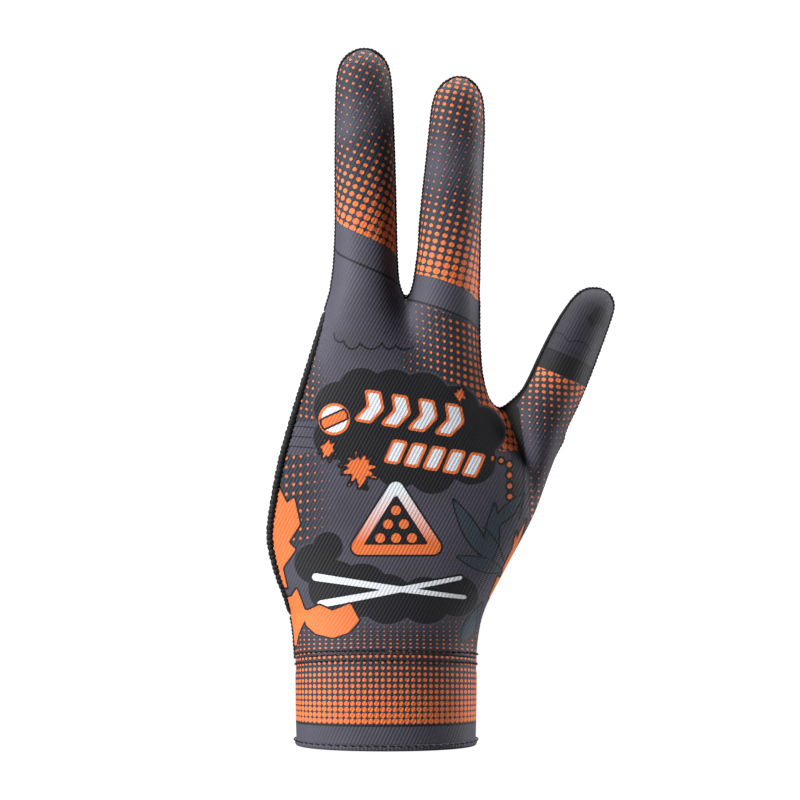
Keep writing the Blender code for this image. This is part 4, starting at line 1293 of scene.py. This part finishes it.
def tube(points, radius_at, sides, closed, up=(0.0, 1.0, 0.0)):
    """A tube along a path. radius_at gives its radius from the distance along and the angle round it."""
    points = np.asarray(points)
    ahead = np.roll(points, -1, axis=0) - np.roll(points, 1, axis=0)
    if not closed:
        ahead[0], ahead[-1] = points[1] - points[0], points[-1] - points[-2]
    ahead /= np.linalg.norm(ahead, axis=1)[:, None]
    side = np.cross(ahead, np.asarray(up))
    side /= np.maximum(np.linalg.norm(side, axis=1), 1e-9)[:, None]
    over = np.cross(side, ahead)
    along = np.hstack([0, np.cumsum(np.linalg.norm(np.diff(points, axis=0), axis=1))])
    angle = 2 * math.pi * np.arange(sides) / sides
    r = radius_at(along[:, None], angle[None, :])
    ring = side[:, None] * np.cos(angle)[None, :, None] + over[:, None] * np.sin(angle)[None, :, None]
    verts = (points[:, None] + ring * r[..., None]).reshape(-1, 3)
    count = len(points)
    i = np.arange(count if closed else count - 1)[:, None]
    j = np.arange(sides)[None, :]
    n, m = (i + 1) % count, (j + 1) % sides
    quads = np.stack([i * sides + j, n * sides + j, n * sides + m, i * sides + m], axis=-1).reshape(-1, 4)
    faces = [list(q) for q in quads]
    if not closed:
        faces += [list(range(sides)), [(count - 1) * sides + k for k in reversed(range(sides))]]
    return verts, faces


def even(points, pitch, closed=False):
    """The same path with its points spread evenly."""
    points = np.asarray(points, float)
    if closed:
        points = np.vstack([points, points[:1]])
    far = np.hstack([0, np.cumsum(np.linalg.norm(np.diff(points, axis=0), axis=1))])
    count = max(3, round(far[-1] / pitch))
    at = far[-1] * np.arange(count + (0 if closed else 1)) / count
    return np.stack([np.interp(at, far, points[:, k]) for k in range(3)], axis=1)


def smoothed(points, passes, closed=False):
    for _ in range(passes):
        means = (np.roll(points, 1, axis=0) + np.roll(points, -1, axis=0)) / 2
        if not closed:
            means[0], means[-1] = points[0], points[-1]
        points = (points + means) / 2
    return points


def joined(parts):
    """Several meshes as one: their points stacked and their faces moved on."""
    points, faces, count = [], [], 0
    for verts, own in parts:
        points.append(verts)
        faces += [[k + count for k in face] for face in own]
        count += len(verts)
    return np.vstack(points), faces


def stitches(line, length, gap, radius, tilt, out):
    """A row of sewn stitches, each a short bead of twisted thread that dips at both ends."""
    line = even(line, (length + gap) / STITCH_STEPS)
    keep = round(STITCH_STEPS * length / (length + gap))
    t = np.linspace(0, 1, keep + 1)
    stand = radius * (0.6 * np.sin(math.pi * t) - 0.2)
    parts = []
    for start in range(0, len(line) - STITCH_STEPS, STITCH_STEPS):
        piece = line[start : start + keep + 1] + out[start : start + keep + 1] * stand[:, None]
        piece[:, 2] += tilt * (t - 0.5)

        def swell(along, angle):
            t = along / along.max()
            twist = 1 + 0.16 * np.sin(2 * angle + 9 * t)
            return radius * np.sqrt(np.clip(1 - (2 * t - 1) ** 4, 0.08, 1)) * twist

        parts.append(tube(piece, swell, 6, False, (0.3, 0.2, 1.0)))
    return joined(parts)


def opening_edge(height, side):
    """A point on the edge of the side opening, half-way through the wall, and the way out of the fabric."""
    find = lower_hand if height <= THUMB_CROTCH_HEIGHT else upper_hand
    rows = find(np.array([height]))
    spread = rows["open"][0]
    angle = spread * (OPENING_BACK_ANGLE if side > 0 else OPENING_PALM_ANGLE)
    inset = WALL / 2
    depths = rows["back"][0] - inset, rows["palm"][0] - inset
    ahead = rows["forward_left"][0], rows["forward_split"][0], rows["forward_right"][0]
    w = rows["groove"][0]
    left = rows["left"][0] + np.array([inset, 0.0])
    near = depths
    if rows["to_fingers"]:
        near = tuple(depth + (rows["far"][0] - inset - depth) * w for depth in depths)
    points = []
    for right, forward, deep in ((rows["right"][0], ahead[2], depths), (rows["split"][0], ahead[1], near)):
        section = (full_left(left, right, spread * OPENING_BACK_ANGLE), right, ahead[0], forward, *deep)
        here, before, after = on_section(section, math.pi - side * (angle + np.array([0.0, -0.05, 0.05])))
        points.append((here, after - before))
    here = points[0][0] + (points[1][0] - points[0][0]) * w
    toward = points[0][1] + (points[1][1] - points[0][1]) * w
    return here, toward / np.linalg.norm(toward)


def binding_path(steps):
    """The middle line of the rope round the side opening."""
    edge, fabric_way, open_way = [], [], []
    for k in range(steps):
        turn = 2 * math.pi * (k + 0.5) / steps
        height = OPENING_MIDDLE - OPENING_HALF * math.cos(turn)
        here, way = opening_edge(height, 1 if turn < math.pi else -1)
        edge.append(here)
        fabric_way.append(way)
        open_way.append(np.array([0, 0, math.cos(turn)]) - way * abs(math.sin(turn)))
    edge, fabric_way, open_way = np.array(edge), np.array(fabric_way), np.array(open_way)
    along = np.roll(edge, -1, axis=0) - np.roll(edge, 1, axis=0)
    along /= np.linalg.norm(along, axis=1)[:, None]
    out = np.cross(along, fabric_way)
    out /= np.linalg.norm(out, axis=1)[:, None]
    into = np.cross(out, along)
    into = into * np.sign((open_way * into).sum(axis=1))[:, None]
    return edge + into * (BINDING_DIAMETER / 2 + 0.5 * GAP) + PANEL_LIFT


# Pieces
def dress(piece, node):
    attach(piece, "root")
    if node:
        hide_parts(node)
    return piece


class GLOVE_OT_back_panel(Operator):
    """Make the printed back of the glove"""

    bl_idname = "glove.back_panel"
    bl_label = "Printed back"

    def execute(self, context):
        obj = panel_mesh("printed_back", 1, printed_knit(), True)
        dress(obj, "back_panel")
        return {"FINISHED"}


class GLOVE_OT_palm_panel(Operator):
    """Make the black palm side of the glove"""

    bl_idname = "glove.palm_panel"
    bl_label = "Black palm"

    def execute(self, context):
        obj = panel_mesh("black_palm", -1, black_stretch(), False)
        dress(obj, "palm_panel")
        return {"FINISHED"}


class GLOVE_OT_cuff(Operator):
    """Make the printed cuff and its rolled hem"""

    bl_idname = "glove.cuff"
    bl_label = "Cuff and hem"

    def execute(self, context):
        look = bpy.data.materials.get("printed_knit_look") or printed_knit()
        bottom, top = HEM_HEIGHT - HEM_OVERLAP, WRIST_SEAM - GAP / 2
        shares = [k / CUFF_ROWS for k in range(CUFF_ROWS + 1)]
        depth, place_below, reach = STITCH_PULL

        def height_of(share):
            return lambda angles: bottom + (top - bottom + seam_rise(angles)) * share

        def puff(share):
            pulled = math.exp(-(((1 - share) * (top - bottom) - place_below) / reach) ** 2)
            return CUFF_PUFF * math.sin(math.pi * share) - depth * pulled

        profile = [(share, height_of(share), puff(share)) for share in shares]
        profile += [(share, height_of(share), -FABRIC_THICKNESS) for share in reversed(shares)]

        def place(share):
            return 1000 * (bottom + (top - bottom) * share)

        cuff, u, v = ring_mesh("printed_cuff", profile, look, place)
        p, q, radius, zone = wrist_dots(u, v)
        outside = np.repeat([row[2] > -FABRIC_THICKNESS / 2 for row in profile], CUFF_COLUMNS)
        dots = np.stack([p, q, np.where(outside, radius, NO_DOT)], axis=1)
        line = (v - HEM_LINE) / HEM_LINE_HALF
        add_print(cuff, {"dots": dots, "dot_zone": zone, "line": line, "line_on": 0 * v + 1})
        dress(cuff, "cuff")

        swell = (HEM_THICKNESS - WALL) / 2
        turn = np.linspace(-0.5, 0.5, 9)
        roll = [(HEM_HEIGHT * (0.5 + t), swell * (math.cos(math.pi * t) ** 0.7) * 1.6) for t in turn]
        outer = [(0.0, level(z), out) for z, out in roll]
        inner = [(0.0, height, -FABRIC_THICKNESS - out) for _, height, out in reversed(outer)]
        hem, u, v = ring_mesh("rolled_hem", outer + inner, look, lambda share: 1.5)
        add_print(hem, {})
        dress(hem, "cuff_hem")
        return {"FINISHED"}


class GLOVE_OT_binding(Operator):
    """Make the serged rope round the side opening"""

    bl_idname = "glove.binding"
    bl_label = "Bound edge"

    def execute(self, context):
        size = context.scene.glove_threads
        line = even(smoothed(binding_path(400), 20, True), 0.0002, True)
        whole = np.linalg.norm(np.diff(line, axis=0), axis=1).sum()
        wraps = round(whole / size.binding_pitch)

        def rope(along, angle):
            phase = 2 * math.pi * wraps * along / (whole + 0.0002)
            ridge = np.abs(np.sin((phase + angle) / 2 + 0.35 * np.sin(3 * phase / 7)))
            return size.binding_radius * (0.74 + 0.30 * np.sqrt(ridge)) * (1 + 0.04 * np.sin(phase * 0.37))

        verts, faces = tube(line, rope, 18, True, (1.0, 0.3, 0.0))
        look = thread_look("serged_thread_look", (0.0040, 0.0040, 0.0045))
        dress(mesh_object("serged_binding", verts, faces, look), "opening_binding")
        return {"FINISHED"}


class GLOVE_OT_seams(Operator):
    """Make the overlocked seams between the back and the palm"""

    bl_idname = "glove.seams"
    bl_label = "Overlocked seams"

    def execute(self, context):
        size = context.scene.glove_threads
        back, palm = surface(1), surface(-1)
        look = thread_look("overlock_thread_look", (0.0035, 0.0035, 0.004))
        parts = []
        for part in ("right", "left"):
            line = (back.points[back.seam(part)] + palm.points[palm.seam(part)]) / 2
            line = even(smoothed(even(line, 0.0002), 60), 0.00016)

            def serrated(along, angle):
                phase = 2 * math.pi * along / size.overlock_pitch
                ridge = np.abs(np.sin(phase / 2 + 0.5 * angle))
                return size.overlock_radius * (0.70 + 0.42 * ridge + 0.05 * np.sin(phase * 0.31))

            parts.append(tube(line, serrated, 8, False, (0.0, 1.0, 0.02)))
        crotch = back.points[back.grids["upper"][-1][HAND_COLUMNS]]
        chance = np.random.default_rng(7)
        for k in range(5):
            t = np.linspace(0, 1, 12)[:, None]
            way = np.array([chance.uniform(-1, 1), -0.4, chance.uniform(-0.2, 0.8)]) * 0.0016
            curl = np.array([0.0006 * (-1) ** k, 0.0, 0.0004])
            tuft = crotch + np.array([0, 0.0003, 0.0004]) + way * t + curl * np.sin(3 * t)
            parts.append(tube(tuft, lambda along, angle: 0.00022 + 0 * along + 0 * angle, 6, False))
        dress(mesh_object("overlocked_seams", *joined(parts), look), None)
        return {"FINISHED"}


class GLOVE_OT_stitching(Operator):
    """Sew the two rows along the cuff's seam and the row above the hem"""

    bl_idname = "glove.stitching"
    bl_label = "Rows of stitches"

    def execute(self, context):
        size = context.scene.glove_threads
        look = thread_look("stitch_thread_look", (0.0035, 0.0035, 0.004))
        angles = np.linspace(0, 2 * math.pi, 721) + math.pi / 2
        back, palm = surface(1), surface(-1)

        def ring(height, stand, arched):
            more = 2 * stand - 0.3 * CUFF_TAPER
            row = wrist_section(WRIST_WIDTH + more, WRIST_DEPTH + more, angles, 0.0)
            row[:, 2] = height + arched * seam_rise(angles)
            return row

        parts = []
        rows = (
            (WRIST_SEAM + size.row_spacing / 2, 0.00022, 0.92, 0.0019, 0.0003, size.stitch_radius),
            (WRIST_SEAM - size.row_spacing / 2, 0.00010, 0.90, 0.0019, 0.0003, size.stitch_radius),
            (HEM_HEIGHT - 0.0004, 0.00045, 0.0, 0.0021, 0.0005, 0.75 * size.stitch_radius),
        )
        for height, stand, arched, length, gap, radius in rows:
            line = ring(height, stand, arched)
            if height > WRIST_SEAM:
                line = snapped(line, back, palm, stand)
            line = even(line, (length + gap) / STITCH_STEPS)
            out = line * (1, 1, 0)
            out /= np.linalg.norm(out, axis=1)[:, None]
            parts.append(stitches(line, length, gap, radius, 0.0003, out))
        dress(mesh_object("rows_of_stitches", *joined(parts), look), None)
        return {"FINISHED"}


def snapped(line, back, palm, stand):
    """The line laid on the panels: each point takes the place of the nearest panel point, and stands off."""
    near = slice(0, (2 * HAND_COLUMNS + THUMB_COLUMNS + 1) * SNAP_ROWS)
    points = np.vstack([back.points[near], palm.points[near]])
    normals = np.vstack([back.normals()[near], palm.normals()[near]])
    out = []
    for place in line:
        far = ((points - place) ** 2).sum(axis=1)
        k = np.argmin(far)
        gap = np.dot(points[k] - place, normals[k])
        out.append(place + normals[k] * (gap + stand))
    return smoothed(np.array(out), 6, True)


class GLOVE_OT_stage(Operator):
    """Set the floor, the lights and the camera"""

    bl_idname = "glove.stage"
    bl_label = "Stage"

    def execute(self, context):
        stage = context.scene.glove_stage
        low, high = (np.array(x) for x in MODEL_BOX)
        middle = (low + high) / 2
        rows = [(FLOOR_RADIUS, 0.0)]
        for bend in np.linspace(0.1, math.pi / 2, 14):
            rows.append((FLOOR_RADIUS + COVE * math.sin(bend), COVE * (1 - math.cos(bend))))
        rows.append((FLOOR_RADIUS + COVE, WALL_TOP))
        turns = 2 * math.pi * np.arange(FLOOR_SIDES) / FLOOR_SIDES
        points = [(r * math.cos(a), r * math.sin(a), z - FLOOR_DROP) for r, z in rows for a in turns]
        faces = [tuple(range(FLOOR_SIDES))]
        for k in range(len(rows) - 1):
            for j in range(FLOOR_SIDES):
                low, after = k * FLOOR_SIDES, (j + 1) % FLOOR_SIDES
                faces.append((low + j, low + after, low + after + FLOOR_SIDES, low + j + FLOOR_SIDES))
        material, n = new_material("stage_paper", (0.9, 0.9, 0.9))
        grain = n.noise(900.0, 2.0, n.place())
        n.shader.inputs["Emission Color"].default_value = (1.0, 1.0, 1.0, 1)
        n.shader.inputs["Emission Strength"].default_value = stage.backdrop_glow
        roughness = n.between(grain, 0.3, 0.7, 0.85, 0.95)
        n.finish(PAPER, roughness, n.bump(grain, 0.05, 0.0002), 0.0, 0.1)
        paper = mesh_object("floor_and_backdrop", points, faces, material)
        paper.visible_diffuse = False
        paper.visible_glossy = False
        paper.visible_shadow = False

        world = bpy.data.worlds.new("studio")
        world.use_nodes = True
        world.node_tree.nodes["Background"].inputs["Color"].default_value = (1.0, 1.0, 1.0, 1)
        world.node_tree.nodes["Background"].inputs["Strength"].default_value = stage.ambient
        context.scene.world = world
        aim = np.array([0.0, 0.0, middle[2]])

        for name, (place, size, setting) in LAMPS.items():
            data = bpy.data.lights.new(name, "AREA")
            data.shape = "RECTANGLE"
            data.size, data.size_y = size
            data.energy = getattr(stage, setting)
            lamp = bpy.data.objects.new(name, data)
            lamp.location = place
            lamp.rotation_euler = look_along(np.array(place) - aim)
            context.collection.objects.link(lamp)

        data = bpy.data.cameras.new("camera")
        data.sensor_width = 36.0
        data.lens = data.sensor_width * stage.camera_distance / (PHOTO_SIDE * PIXEL)
        data.clip_start, data.clip_end = 0.01, 20
        camera = bpy.data.objects.new("camera", data)
        camera.location = (VIEW_MIDDLE[0], -stage.camera_distance, VIEW_MIDDLE[1])
        camera.rotation_euler = (math.pi / 2, 0, 0)
        context.collection.objects.link(camera)
        context.scene.camera = camera
        context.scene.view_settings.view_transform = "Standard"
        return {"FINISHED"}


def look_along(way):
    """Turns for a lamp or camera that looks against the given direction."""
    way = way / np.linalg.norm(way)
    return (math.acos(way[2]), 0.0, math.atan2(way[1], way[0]) + math.pi / 2)


def colour(name, description, default):
    return FloatVectorProperty(
        name=name, description=description, default=default, subtype="COLOR", size=3, min=0.0, max=1.0
    )


def length(name, description, default):
    return FloatProperty(name=name, description=description, default=default, unit="LENGTH", precision=5)


def strength(name, description, default, unit="POWER"):
    return FloatProperty(name=name, description=description, default=default, unit=unit)


class GloveFabric(PropertyGroup):
    grey: colour("Grey", "Violet grey of the plain fabric", (0.078, 0.074, 0.102))
    slate: colour("Slate", "Ground under the dots", (0.032, 0.036, 0.050))
    dark: colour("Dark", "Patches behind the figures", (0.015, 0.015, 0.019))
    black: colour("Black", "The palm's stretch knit", (0.006, 0.006, 0.007))
    orange: colour("Orange", "Dots and figures", (0.90, 0.20, 0.055))
    white: colour("White", "Pale figures", (0.80, 0.84, 0.90))
    leaf: colour("Leaf", "Blue-grey leaves", (0.050, 0.070, 0.095))
    rib_pitch: FloatProperty(
        name="Rib pitch", description="Width of one rib of the knit, in millimetres", default=1.1, min=0.2
    )
    patchiness: FloatProperty(
        name="Patchiness", description="How small the print's pale and dark clouds are", default=0.05
    )


class GloveThreads(PropertyGroup):
    binding_radius: length("Binding radius", "Of the rope round the side opening", 0.00140)
    binding_pitch: length("Binding pitch", "From one wrap of the rope to the next", 0.0017)
    overlock_radius: length("Overlock radius", "Of the thread along the seams", 0.00055)
    overlock_pitch: length("Overlock pitch", "From one loop to the next", 0.0013)
    stitch_radius: length("Stitch radius", "Of the top stitching", 0.00032)
    row_spacing: length("Row spacing", "Between the two rows along the cuff's seam", 0.0033)


class GloveStage(PropertyGroup):
    camera_distance: length("Camera distance", "From the camera to the middle of the glove", 1.0)
    ambient: strength("Ambient", "Strength of the even light", 0.05, "NONE")
    backdrop_glow: strength("Backdrop glow", "Light of the white paper", 1.0, "NONE")
    left_power: strength("Left power", "Of the left softbox", 24.0)
    right_power: strength("Right power", "Of the right softbox", 13.0)
    top_power: strength("Top power", "Of the top softbox", 1.5)
    backdrop_power: strength("Backdrop power", "On the backdrop", 40.0)


OPERATORS = (
    GLOVE_OT_back_panel,
    GLOVE_OT_palm_panel,
    GLOVE_OT_cuff,
    GLOVE_OT_binding,
    GLOVE_OT_seams,
    GLOVE_OT_stitching,
    GLOVE_OT_stage,
)
GROUPS = {"glove_fabric": GloveFabric, "glove_threads": GloveThreads, "glove_stage": GloveStage}


class GLOVE_PT_sidebar(Panel):
    """The glove's sizes, colours and pieces"""

    bl_idname = "GLOVE_PT_sidebar"
    bl_label = "Billiard glove"
    bl_space_type = "VIEW_3D"
    bl_region_type = "UI"
    bl_category = "Glove"

    def draw(self, context):
        for name, group in GROUPS.items():
            box = self.layout.box()
            for key in group.__annotations__:
                box.prop(getattr(context.scene, name), key)
        for operator in OPERATORS:
            self.layout.operator(operator.bl_idname)


def register():
    for item in (*GROUPS.values(), *OPERATORS, GLOVE_PT_sidebar):
        bpy.utils.register_class(item)
    for name, group in GROUPS.items():
        setattr(bpy.types.Scene, name, PointerProperty(type=group))


def unregister():
    for name in GROUPS:
        delattr(bpy.types.Scene, name)
    for item in (GLOVE_PT_sidebar, *reversed(OPERATORS), *GROUPS.values()):
        bpy.utils.unregister_class(item)


def main():
    register()
    bpy.ops.glove.back_panel()
    bpy.ops.glove.palm_panel()
    bpy.ops.glove.cuff()
    bpy.ops.glove.binding()
    bpy.ops.glove.seams()
    bpy.ops.glove.stitching()
    bpy.ops.glove.stage()


if __name__ == "__main__":
    main()
